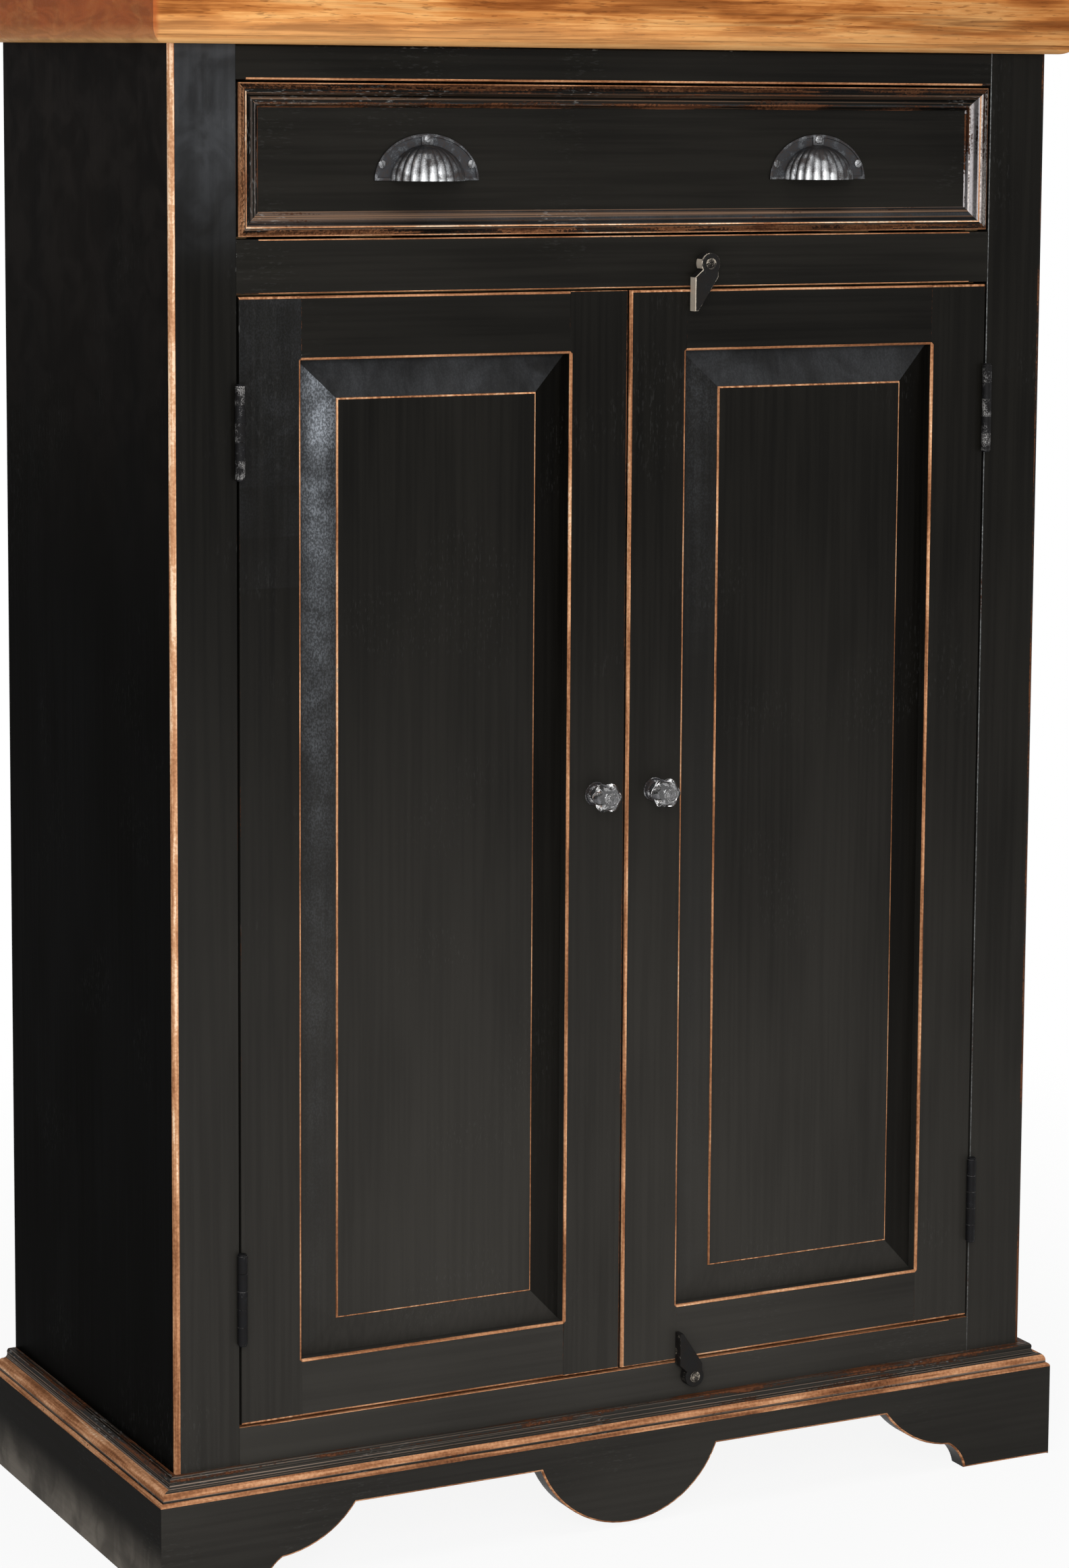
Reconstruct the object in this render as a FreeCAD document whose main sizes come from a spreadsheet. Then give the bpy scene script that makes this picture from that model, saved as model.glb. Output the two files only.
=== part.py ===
"""A black painted highboard with one wide drawer above two panelled doors.

Frame: origin on the floor under the middle of the object, +X to the right as one faces it,
+Y to the back, +Z up. All lengths are millimetres.

Inside the script, y = 0 is the front face of the face frame; every sub-part's Placement then
moves it to its place about the origin.
"""
import FreeCAD
import Part
import Sketcher

import math
import operator
import os

LEFT = -1
RIGHT = 1

SIZES = {
    # Carcass
    "carcass_width": 790,
    "carcass_depth": 376,
    "carcass_height": 1220,
    "side_thickness": 20,
    "back_thickness": 8,
    "back_rebate": 10,
    "housing_depth": 7,
    "fit_gap": 0.1,
    # Top board
    "top_thickness": 46,
    "top_overhang": 20,
    "top_lower_round": 13,
    "top_upper_round": 4,
    # Face frame
    "front_thickness": 21,
    "stop_gap": 1,
    "stile_width": 54.5,
    "stile_round": 4,
    "top_rail_height": 27,
    "drawer_opening_height": 122,
    "middle_rail_height": 42,
    "door_sill_rise": 30,
    "bottom_rail_height": 62,
    "tenon_thickness": 8,
    "tenon_length": 24,
    "tenon_shoulder": 6,
    # Inside of the carcass
    "floor_thickness": 18,
    "floor_stop": 6,
    "dust_panel_thickness": 10,
    "shelf_thickness": 18,
    "shelf_setback": 30,
    "shelf_play": 0.8,
    "lower_shelf_rise": 298,
    "upper_shelf_rise": 596,
    "cleat_width": 18,
    "runner_height": 21,
    "runner_ledge": 22,
    "guide_height": 24,
    "batten_depth": 20,
    "drawer_stop_from_middle": 200,
    "drawer_stop_width": 36,
    "drawer_stop_depth": 18,
    "drawer_stop_rise": 8,
    "door_stop_depth": 14,
    "door_stop_drop": 8,
    # Plinth and base moulding
    "plinth_height": 82,
    "plinth_thickness": 20,
    "plinth_round": 3,
    "apron_height": 59,
    "drop_half_width": 82,
    "drop_clearance": 3,
    "bracket_reach": 167,
    "bracket_swell": 8,
    "toe_reach": 103,
    "toe_height": 23,
    "toe_hollow": 3,
    "foot_width": 87,
    "moulding_land": 6.5,
    "moulding_bead_out": 1.5,
    "moulding_bead_height": 3.5,
    "moulding_hollow_out": 3,
    "moulding_hollow_height": 4.5,
    "moulding_quirk": 2,
    "moulding_round_out": 4,
    "moulding_round_height": 6,
    "moulding_fillet": 2,
    "moulding_swell": 1.2,
    "moulding_bead_swell": 0.6,
    # Doors
    "door_gap": 2,
    "meeting_gap": 2,
    "door_stile_width": 52,
    "door_top_rail": 50,
    "door_bottom_rail": 47,
    "groove_depth": 9,
    "groove_width": 6,
    "groove_from_front": 10,
    "panel_play": 0.6,
    "field_set_back": 0.6,
    "field_shoulder": 1.6,
    "bevel_width": 30,
    "bevel_clearance": 0.3,
    # Butt hinges
    "hinge_length": 72.5,
    "hinge_inset": 68,
    "hinge_barrel_radius": 4,
    "hinge_barrel_clearance": 0.3,
    "hinge_pin_radius": 2,
    "hinge_pin_clearance": 0.05,
    "hinge_pin_head_radius": 3.2,
    "hinge_pin_head": 1.4,
    "knuckle_gap": 0.3,
    "leaf_thickness": 1.5,
    "leaf_depth": 18,
    "leaf_gap": 0.5,
    # Glass knobs
    "knob_above_door_base": 487,
    "knob_reach": 32,
    "rosette_radius": 10,
    "rosette_thickness": 4,
    "rosette_lip": 1.5,
    "rosette_swell": 0.4,
    "knob_neck_radius": 6,
    "knob_neck_length": 7,
    "knob_lobe_overlap": 3.5,
    "knob_lobe_ring": 5.5,
    "knob_lobe_radius": 7,
    "knob_bolt_radius": 2,
    "knob_bolt_clearance": 0.1,
    "knob_bolt_bite": 9,
    "knob_bolt_head_radius": 4.5,
    "knob_bolt_head": 2.5,
    # Turn buttons
    "button_above_doors": 19,
    "button_below_doors": 12,
    "upper_button_from_middle": 69,
    "lower_button_from_middle": 65.5,
    "button_stand_off": 1.5,
    "button_thickness": 9,
    "button_head_radius": 8.8,
    "button_neck_half": 7.2,
    "button_neck_drop": 5,
    "button_tip_drop": 38.5,
    "button_tip_out": 14,
    "button_tip_width": 3,
    "button_shoulder_drop": 11,
    "button_edge": 0.8,
    "button_screw_radius": 2.5,
    "button_screw_clearance": 0.06,
    "button_screw_head_radius": 4.6,
    "button_screw_head": 1.6,
    "button_screw_swell": 0.4,
    "button_screw_bite": 15,
    # Drawer
    "drawer_side_thickness": 12,
    "drawer_back_gap": 18,
    "drawer_run_gap": 0.3,
    "drawer_lap": 7,
    "drawer_bottom_thickness": 6,
    "drawer_bottom_clearance": 4,
    "drawer_bottom_groove": 5,
    "drawer_back_drop": 6,
    "drawer_moulding_width": 19,
    "drawer_moulding_depth": 7.3,
    "drawer_moulding_land": 5,
    "drawer_moulding_step": 1.4,
    "drawer_moulding_quirk": 2,
    "drawer_moulding_bead": 4,
    "drawer_moulding_hollow": 0.8,
    # Cup pulls
    "pull_from_middle": 177,
    "pull_above_drawer_base": 42.5,
    "pull_flange_side": 13,
    "pull_flange_top": 8.5,
    "pull_flange_thickness": 2,
    "cup_half_width": 32,
    "cup_rise": 28,
    "cup_depth": 24,
    "cup_wall": 2,
    "cup_flute_depth": 1.2,
    "pull_screw_radius": 1.5,
    "pull_screw_clearance": 0.1,
    "pull_screw_head_radius": 3.3,
    "pull_screw_head": 1.7,
    "pull_screw_swell": 0.6,
    "pull_side_screw_rise": 12.7,
    "pull_screw_bite": 10,
}

# Counts that belong to the pattern, not to any length
KNUCKLES = 5
KNOB_LOBES = 8
CUP_FLUTES = 12
CUP_LEVELS = (0.0, 0.3, 0.55, 0.75, 0.88, 0.95, 0.985)
CUP_HOLLOW_TOP = 0.95

# How close two lines count as one, and how small a cut counts as none
SAME_LINE = 1e-4
NO_CUT = 1e-6

OPERATIONS = {
    "+": operator.add,
    "-": operator.sub,
    "*": operator.mul,
    "/": operator.truediv,
}


class Size:
    """A length: its value now, and the expression that ties it to the sheet."""

    def __init__(self, text, value):
        self.text = text
        self.value = float(value)

    def __add__(self, other):
        return combine(self, "+", other)

    def __radd__(self, other):
        return combine(other, "+", self)

    def __sub__(self, other):
        return combine(self, "-", other)

    def __rsub__(self, other):
        return combine(other, "-", self)

    def __mul__(self, other):
        return combine(self, "*", other)

    def __rmul__(self, other):
        return combine(other, "*", self)

    def __truediv__(self, other):
        return combine(self, "/", other)

    def __neg__(self):
        return combine(0, "-", self)


def as_size(number):
    """A plain number as a Size."""
    if isinstance(number, Size):
        return number
    return Size(f"({float(number)})", number)


def combine(first, sign, second):
    """Two sizes joined by one sign of arithmetic."""
    first = as_size(first)
    second = as_size(second)
    value = OPERATIONS[sign](first.value, second.value)
    return Size(f"({first.text} {sign} {second.text})", value)


class Sheet:
    """The driving dimensions, one attribute each."""

    def __init__(self, document):
        self.sheet = document.addObject("Spreadsheet::Sheet", "Sizes")
        for row, (name, value) in enumerate(SIZES.items(), start=1):
            self.sheet.set(f"A{row}", name)
            self.sheet.set(f"B{row}", str(value))
            self.sheet.setAlias(f"B{row}", name)
            setattr(self, name, Size(f"Sizes.{name}", value))
        document.recompute()


doc = FreeCAD.newDocument("highboard")
S = Sheet(doc)
nodes = []

# Lines of the carcass, from the middle, from the front face and from the floor
half = S.carcass_width / 2
opening = half - S.stile_width
side_inside = half - S.side_thickness
front = (S.knob_reach - S.carcass_depth) / 2
frame_back = S.front_thickness + S.stop_gap
back_face = S.carcass_depth - S.back_thickness
drawer_top = S.carcass_height - S.top_rail_height
drawer_low = drawer_top - S.drawer_opening_height
door_top = drawer_low - S.middle_rail_height
moulding_depth = (S.moulding_land + S.moulding_bead_out + S.moulding_hollow_out + S.moulding_quirk
                  + S.moulding_round_out)
moulding_height = (S.moulding_fillet + S.moulding_round_height + S.moulding_hollow_height
                   + S.moulding_bead_height)
door_low = S.plinth_height + moulding_height + S.door_sill_rise
bottom_rail_low = door_low - S.bottom_rail_height
dust_top = drawer_low - S.runner_height
dust_low = dust_top - S.dust_panel_thickness
floor_top = door_low + S.floor_stop
floor_low = floor_top - S.floor_thickness

# Lines of the doors and the drawer
door_near = S.meeting_gap / 2
door_far = opening - S.door_gap
door_base = door_low + S.door_gap
door_head = door_top - S.door_gap
groove = (S.groove_from_front, S.groove_from_front + S.groove_width)
tongue = (groove[0] + S.fit_gap, groove[1] - S.fit_gap)
hinge_axis = opening - S.door_gap / 2
hinge_axis_out = S.hinge_barrel_radius + S.hinge_barrel_clearance
knob_middle = door_near + S.door_stile_width / 2
knob_height = door_base + S.knob_above_door_base
drawer_out = opening - S.door_gap
drawer_base = drawer_low + S.door_gap
drawer_head = drawer_top - S.door_gap
drawer_end = back_face - S.drawer_back_gap
drawer_floor = drawer_low + S.drawer_stop_rise + S.drawer_bottom_clearance
drawer_floor_top = drawer_floor + S.drawer_bottom_thickness
pull_height = drawer_base + S.pull_above_drawer_base
pull_half_width = S.cup_half_width + S.pull_flange_side
pull_rise = S.cup_rise + S.pull_flange_top


def bind(target, path, size):
    """Tie one property to the sheet."""
    target.setExpression(path, as_size(size).text)


def flip(side, near, far):
    """The span from near to far on the right, or its mirror image on the left."""
    if side == RIGHT:
        return (as_size(near), as_size(far))
    return (-as_size(far), -as_size(near))


def across(reach):
    """The span from -reach to reach."""
    return (-as_size(reach), as_size(reach))


def word(side):
    """The side's name."""
    return "right" if side == RIGHT else "left"


def new_body(name):
    """An empty body that stands at the cabinet's place."""
    body = doc.addObject("PartDesign::Body", name)
    body.Label = name
    bind(body, "Placement.Base.y", front)
    return body


def keep(piece, name):
    """Take a finished sub-part into the list that is written out."""
    piece.Label = name
    nodes.append(piece)
    return piece


def group(name, members):
    """Several equal pieces as one sub-part of separate solids."""
    compound = doc.addObject("Part::Compound", name)
    compound.Links = members
    return keep(compound, name)


def origin_feature(body, role):
    """One of the body's own planes or axes."""
    return next(item for item in body.Origin.OriginFeatures if item.Role == role)


def sketch_on(body, plane, level=0):
    """An empty sketch on the body's XY, XZ or YZ plane, moved to the level along the third axis."""
    sketch = body.newObject("Sketcher::SketchObject", "Outline")
    sketch.AttachmentSupport = [(origin_feature(body, f"{plane}_Plane"), "")]
    sketch.MapMode = "FlatFace"
    offset = -as_size(level) if plane == "XZ" else level
    bind(sketch, "AttachmentOffset.Base.z", offset)
    return sketch


def mirrored(outline):
    """The outline turned over about the sketch's upright axis."""
    return [(-as_size(step[0]), step[1], *(-as_size(bulge) for bulge in step[2:])) for step in outline]


def arc_between(start, finish, bulge):
    """Arc geometry from start to finish, its radius, and which of its ends is the finish.

    A positive bulge lies to the right of the way from start to finish.
    """
    run = finish[0] - start[0]
    rise = finish[1] - start[1]
    sag = bulge if bulge.value > 0 else -bulge
    radius = (run * run + rise * rise) / (8 * sag) + sag / 2
    chord = math.hypot(run.value, rise.value)
    turn = math.copysign(1.0, bulge.value)
    reach = turn * (radius.value - sag.value) / chord
    centre_x = (start[0].value + finish[0].value) / 2 - rise.value * reach
    centre_y = (start[1].value + finish[1].value) / 2 + run.value * reach
    ends = (start, finish) if turn > 0 else (finish, start)
    angles = [math.atan2(end[1].value - centre_y, end[0].value - centre_x) for end in ends]
    if angles[1] < angles[0]:
        angles[1] += 2 * math.pi
    circle = Part.Circle(FreeCAD.Vector(centre_x, centre_y, 0), FreeCAD.Vector(0, 0, 1), radius.value)
    return Part.ArcOfCircle(circle, *angles), radius, 2 if turn > 0 else 1


def draw(sketch, outline):
    """A closed outline of lines and arcs.

    Each step is the corner that its line or arc ends at, (x, y), with a bulge as third value for
    an arc. Every corner is held by its two distances from the sketch's origin.
    """
    corners = [(as_size(step[0]), as_size(step[1])) for step in outline]
    last_end = []
    for index, step in enumerate(outline):
        start = corners[index - 1]
        finish = corners[index]
        if len(step) == 2:
            points = [FreeCAD.Vector(x.value, y.value, 0) for x, y in (start, finish)]
            sketch.addGeometry(Part.LineSegment(*points), False)
            last_end.append(2)
            continue
        arc, radius, end = arc_between(start, finish, as_size(step[2]))
        sketch.addGeometry(arc, False)
        last_end.append(end)
        held = sketch.addConstraint(Sketcher.Constraint("Radius", index, radius.value))
        bind(sketch, f"Constraints[{held}]", radius)
    for index, corner in enumerate(corners):
        following = (index + 1) % len(corners)
        first_end = 3 - last_end[following]
        sketch.addConstraint(
            Sketcher.Constraint("Coincident", index, last_end[index], following, first_end))
        for kind, distance in zip(("DistanceX", "DistanceY"), corner):
            held = sketch.addConstraint(
                Sketcher.Constraint(kind, -1, 1, index, last_end[index], distance.value))
            bind(sketch, f"Constraints[{held}]", distance)


def rectangle(sketch, x, y):
    """A rectangle over the two spans."""
    draw(sketch, [(x[0], y[0]), (x[1], y[0]), (x[1], y[1]), (x[0], y[1])])


def pad(body, sketch, length, backwards=False):
    """Raise a sketch by the length along its normal, or against it."""
    feature = body.newObject("PartDesign::Pad", "Pad")
    feature.Profile = sketch
    bind(feature, "Length", length)
    feature.Reversed = backwards
    return feature


def cut_down(body, plane, level, outline):
    """Cut an outline right through, from the level against the sketch's normal."""
    sketch = sketch_on(body, plane, level)
    draw(sketch, outline)
    feature = body.newObject("PartDesign::Pocket", "Cut")
    feature.Profile = sketch
    feature.Type = "ThroughAll"
    return feature


def board(name, x, y, z):
    """A plain board over three spans."""
    body = new_body(name)
    sketch = sketch_on(body, "XY", z[0])
    rectangle(sketch, x, y)
    pad(body, sketch, as_size(z[1]) - z[0])
    return body


def block(body, kind, x, y, z):
    """A tenon, tongue, mortise or groove: kind is Additive or Subtractive."""
    feature = body.newObject(f"PartDesign::{kind}Box", kind)
    for axis, length, span in zip("xyz", ("Length", "Width", "Height"), (x, y, z)):
        bind(feature, length, as_size(span[1]) - span[0])
        bind(feature, f"Placement.Base.{axis}", span[0])
    return feature


def upright_cylinder(body, kind, x, y, z, radius):
    """A round solid or hole along Z over the span z."""
    feature = body.newObject(f"PartDesign::{kind}Cylinder", kind)
    bind(feature, "Radius", radius)
    bind(feature, "Height", as_size(z[1]) - z[0])
    for axis, place in zip("xyz", (x, y, z[0])):
        bind(feature, f"Placement.Base.{axis}", place)
    return feature


def drilled_hole(body, x, y, z, radius):
    """A round hole along Y over the span y."""
    feature = body.newObject("PartDesign::SubtractiveCylinder", "Drilled")
    feature.Placement = FreeCAD.Placement(
        FreeCAD.Vector(), FreeCAD.Rotation(FreeCAD.Vector(1, 0, 0), -90))
    bind(feature, "Radius", radius)
    bind(feature, "Height", as_size(y[1]) - y[0])
    for axis, place in zip("xyz", (x, y[0], z)):
        bind(feature, f"Placement.Base.{axis}", place)
    return feature


def round_over(body, radius, wanted):
    """Round the edges of the shape so far whose bounding box the test wants."""
    doc.recompute()
    base = body.Tip
    names = []
    for index, edge in enumerate(base.Shape.Edges, start=1):
        if wanted(edge.BoundBox):
            names.append(f"Edge{index}")
    fillet = body.newObject("PartDesign::Fillet", "Round")
    fillet.Base = (base, names)
    bind(fillet, "Radius", radius)
    return fillet


def near(first, second):
    """Two coordinates that name the same line."""
    return abs(as_size(first).value - as_size(second).value) < SAME_LINE


def turned(body, outline):
    """A solid turned about the Y axis; outline steps are (y, radius)."""
    sketch = sketch_on(body, "YZ")
    draw(sketch, outline)
    feature = body.newObject("PartDesign::Revolution", "Turned")
    feature.Profile = sketch
    feature.ReferenceAxis = (sketch, ["H_Axis"])
    feature.Angle = 360
    return feature


def place(body, x, y, z):
    """Put a body that was made about its own origin at its place on the cabinet."""
    for axis, value in zip("xyz", (x, front + y, z)):
        bind(body, f"Placement.Base.{axis}", value)


def make_top():
    """Thick top board with a rounded lower edge on the three sides that show."""
    reach = half + S.top_overhang
    top = S.carcass_height + S.top_thickness
    body = board("top_board", across(reach), (-S.top_overhang, S.carcass_depth), (S.carcass_height, top))

    def on_rim(box, level):
        """An edge of the front or of one end, at the given height."""
        if not (near(box.ZMin, level) and near(box.ZMax, level)):
            return False
        return not near(box.YMin, S.carcass_depth)

    round_over(body, S.top_lower_round, lambda box: on_rim(box, S.carcass_height))
    round_over(body, S.top_upper_round, lambda box: on_rim(box, top))
    keep(body, "top_board")


def make_sides():
    """Side boards from floor to top, housed for the floor and dust panel and rebated at the back."""
    for side in (LEFT, RIGHT):
        name = f"{word(side)}_side_panel"
        body = board(name, flip(side, side_inside, half), (frame_back, S.carcass_depth),
                     (0, S.carcass_height))
        housing = flip(side, side_inside, side_inside + S.housing_depth)
        for low, high in ((floor_low, floor_top), (dust_low, dust_top)):
            block(body, "Subtractive", housing, (frame_back, back_face),
                  (low - S.fit_gap, high + S.fit_gap))
        rebate = flip(side, side_inside, side_inside + S.back_rebate)
        block(body, "Subtractive", rebate, (back_face, S.carcass_depth),
              (bottom_rail_low, S.carcass_height))
        keep(body, name)


def make_back():
    """Thin back panel in the rebates of the side boards."""
    reach = side_inside + S.back_rebate - S.fit_gap
    body = board("back_panel", across(reach), (back_face, S.carcass_depth),
                 (bottom_rail_low, S.carcass_height))
    keep(body, "back_panel")


RAIL_SPANS = {
    "top_rail": (drawer_top, S.carcass_height),
    "middle_rail": (door_top, drawer_low),
    "bottom_rail": (bottom_rail_low, door_low),
}
TENON_DEPTH = ((frame_back - S.tenon_thickness) / 2, (frame_back + S.tenon_thickness) / 2)
HINGE_HEIGHTS = (door_base + S.hinge_inset, door_head - S.hinge_inset - S.hinge_length)
LEAF_RECESS = S.leaf_thickness + S.leaf_gap / 2 - S.door_gap / 2


def make_face_frame():
    """Two stiles with mortises for three tenoned rails."""
    gap = S.fit_gap
    for side in (LEFT, RIGHT):
        name = f"{word(side)}_front_stile"
        body = board(name, flip(side, opening, half), (0, frame_back), (0, S.carcass_height))
        outer = side * half.value
        round_over(body, S.stile_round, lambda box, outer=outer: near(box.XMin, outer)
                   and near(box.XMax, outer) and near(box.YMin, 0) and near(box.YMax, 0))
        for low, high in RAIL_SPANS.values():
            block(body, "Subtractive", flip(side, opening, opening + S.tenon_length + gap),
                  (TENON_DEPTH[0] - gap, TENON_DEPTH[1] + gap),
                  (low + S.tenon_shoulder - gap, high - S.tenon_shoulder + gap))
        for height in HINGE_HEIGHTS:
            block(body, "Subtractive", flip(side, opening, opening + LEAF_RECESS),
                  (0, S.leaf_depth), (height, height + S.hinge_length))
        keep(body, name)
    for name, (low, high) in RAIL_SPANS.items():
        body = board(name, across(opening), (0, frame_back), (low, high))
        for side in (LEFT, RIGHT):
            block(body, "Additive", flip(side, opening, opening + S.tenon_length), TENON_DEPTH,
                  (low + S.tenon_shoulder, high - S.tenon_shoulder))
        for button, (across_x, height) in BUTTON_PIVOTS.items():
            if BUTTON_RAILS[button] == name:
                drilled_hole(body, across_x, (0, S.button_screw_bite), height,
                             S.button_screw_radius + S.fit_gap)
        keep(body, name)


BUTTON_PIVOTS = {
    "upper": (S.upper_button_from_middle, door_top + S.button_above_doors),
    "lower": (S.lower_button_from_middle, door_low - S.button_below_doors),
}
BUTTON_RAILS = {"upper": "middle_rail", "lower": "bottom_rail"}
BUTTON_POINTS = {"upper": -1, "lower": 1}


def make_inside():
    """Floor, dust panel, shelves, drawer runners, kickers, battens and stops."""
    housed = across(side_inside + S.housing_depth - S.fit_gap)
    deep = (frame_back, back_face)
    keep(board("cupboard_floor", housed, deep, (floor_low, floor_top)), "cupboard_floor")
    keep(board("dust_panel", housed, deep, (dust_low, dust_top)), "dust_panel")

    shelf_deep = (frame_back + S.shelf_setback, back_face)
    cleats = []
    for name, rise in (("lower", S.lower_shelf_rise), ("upper", S.upper_shelf_rise)):
        height = floor_top + rise
        shelf = board(f"{name}_shelf", across(side_inside - S.shelf_play), shelf_deep,
                      (height, height + S.shelf_thickness))
        keep(shelf, f"{name}_shelf")
        for side in (LEFT, RIGHT):
            cleats.append(board(f"{name}_{word(side)}_cleat",
                                flip(side, side_inside - S.cleat_width, side_inside), shelf_deep,
                                (height - S.cleat_width, height)))
    group("shelf_cleats", cleats)

    kickers = []
    ledge = opening - S.runner_ledge
    for side in (LEFT, RIGHT):
        name = f"{word(side)}_drawer_runner"
        body = new_body(name)
        section = [(ledge, dust_top), (side_inside, dust_top),
                   (side_inside, drawer_low + S.guide_height), (opening, drawer_low + S.guide_height),
                   (opening, drawer_low), (ledge, drawer_low)]
        sketch = sketch_on(body, "XZ", frame_back)
        draw(sketch, section if side == RIGHT else mirrored(section))
        pad(body, sketch, back_face - frame_back, backwards=True)
        keep(body, name)
        kickers.append(board(f"{word(side)}_kicker", flip(side, ledge, side_inside),
                             (frame_back, back_face - S.batten_depth), (drawer_top, S.carcass_height)))
    group("drawer_kickers", kickers)
    batten = board("rear_top_batten", across(side_inside), (back_face - S.batten_depth, back_face),
                   (drawer_top, S.carcass_height))
    keep(batten, "rear_top_batten")

    stops = []
    for side in (LEFT, RIGHT):
        reach = flip(side, S.drawer_stop_from_middle, S.drawer_stop_from_middle + S.drawer_stop_width)
        stops.append(board(f"{word(side)}_drawer_stop", reach, (frame_back, frame_back + S.drawer_stop_depth),
                           (dust_top, drawer_low + S.drawer_stop_rise)))
    group("drawer_stops", stops)
    door_stop = board("door_stop_batten", across(opening), (frame_back, frame_back + S.door_stop_depth),
                      (door_top - S.door_stop_drop, dust_low))
    keep(door_stop, "door_stop_batten")


def apron_outline():
    """Front of the plinth: bracket feet, a level stretch each side, and a round drop in the middle."""
    end = half + S.plinth_thickness
    right_half = [
        (end - S.bracket_reach, S.apron_height),
        (end - S.toe_reach, S.toe_height, S.bracket_swell),
        (end - S.foot_width, 0, -S.toe_hollow),
        (end, 0),
        (end, S.plinth_height),
    ]
    left_half = [
        (-end, S.plinth_height),
        (-end, 0),
        (-(end - S.foot_width), 0),
        (-(end - S.toe_reach), S.toe_height, -S.toe_hollow),
        (-(end - S.bracket_reach), S.apron_height, S.bracket_swell),
    ]
    drop = [
        (-S.drop_half_width, S.apron_height),
        (S.drop_half_width, S.apron_height, S.apron_height - S.drop_clearance),
    ]
    return left_half + drop + right_half


def mitre_front_end(body, side, level, depth):
    """Mitre one end of a front board or moulding that stands out by the depth."""
    corner = [(half, 0), (half + depth, -depth), (half + depth, 0)]
    cut_down(body, "XY", level, corner if side == RIGHT else mirrored(corner))


def mitre_side_front(body, side, level, depth):
    """Mitre the front end of a side board or moulding that stands out by the depth."""
    corner = [(half, 0), (half, -depth), (half + depth, -depth)]
    cut_down(body, "XY", level, corner if side == RIGHT else mirrored(corner))


def make_plinth():
    """Three plinth boards planted on the carcass and mitred at the front corners."""
    depth = S.plinth_thickness
    body = new_body("front_plinth")
    sketch = sketch_on(body, "XZ", -depth)
    draw(sketch, apron_outline())
    pad(body, sketch, depth, backwards=True)
    round_over(body, S.plinth_round, lambda box: near(box.ZMin, S.plinth_height)
               and near(box.ZMax, S.plinth_height) and near(box.YMax, -depth))
    for side in (LEFT, RIGHT):
        mitre_front_end(body, side, S.plinth_height, depth)
    keep(body, "front_plinth")
    for side in (LEFT, RIGHT):
        name = f"{word(side)}_plinth"
        body = board(name, flip(side, half, half + depth), (-depth, S.carcass_depth), (0, S.plinth_height))
        outer = side * (half + depth).value
        round_over(body, S.plinth_round, lambda box, outer=outer: near(box.ZMin, S.plinth_height)
                   and near(box.ZMax, S.plinth_height) and near(box.XMin, outer) and near(box.XMax, outer))
        mitre_side_front(body, side, S.plinth_height, depth)
        keep(body, name)


def moulding_section():
    """Base moulding: fillet, round, quirk, hollow and bead, as (reach from the carcass, height)."""
    low = S.plinth_height
    step = low + S.moulding_fillet + S.moulding_round_height
    round_reach = moulding_depth - S.moulding_round_out
    bead_reach = S.moulding_land + S.moulding_bead_out
    return [
        (0, low),
        (moulding_depth, low),
        (moulding_depth, low + S.moulding_fillet),
        (round_reach, step, S.moulding_swell),
        (round_reach - S.moulding_quirk, step),
        (bead_reach, step + S.moulding_hollow_height, -S.moulding_swell),
        (S.moulding_land, low + moulding_height, S.moulding_bead_swell),
        (0, low + moulding_height),
    ]


def make_base_moulding():
    """Moulding on the plinth's top edge, mitred round the front corners."""
    depth = moulding_depth
    top = S.plinth_height + moulding_height
    end = half + depth
    body = new_body("front_base_moulding")
    sketch = sketch_on(body, "YZ", -end)
    draw(sketch, mirrored(moulding_section()))
    pad(body, sketch, 2 * end)
    for side in (LEFT, RIGHT):
        mitre_front_end(body, side, top, depth)
    keep(body, "front_base_moulding")
    shifted = [(half + step[0], *step[1:]) for step in moulding_section()]
    for side in (LEFT, RIGHT):
        name = f"{word(side)}_base_moulding"
        body = new_body(name)
        sketch = sketch_on(body, "XZ", -depth)
        draw(sketch, shifted if side == RIGHT else mirrored(shifted))
        pad(body, sketch, S.carcass_depth + depth, backwards=True)
        mitre_side_front(body, side, top, depth)
        keep(body, name)


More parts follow.
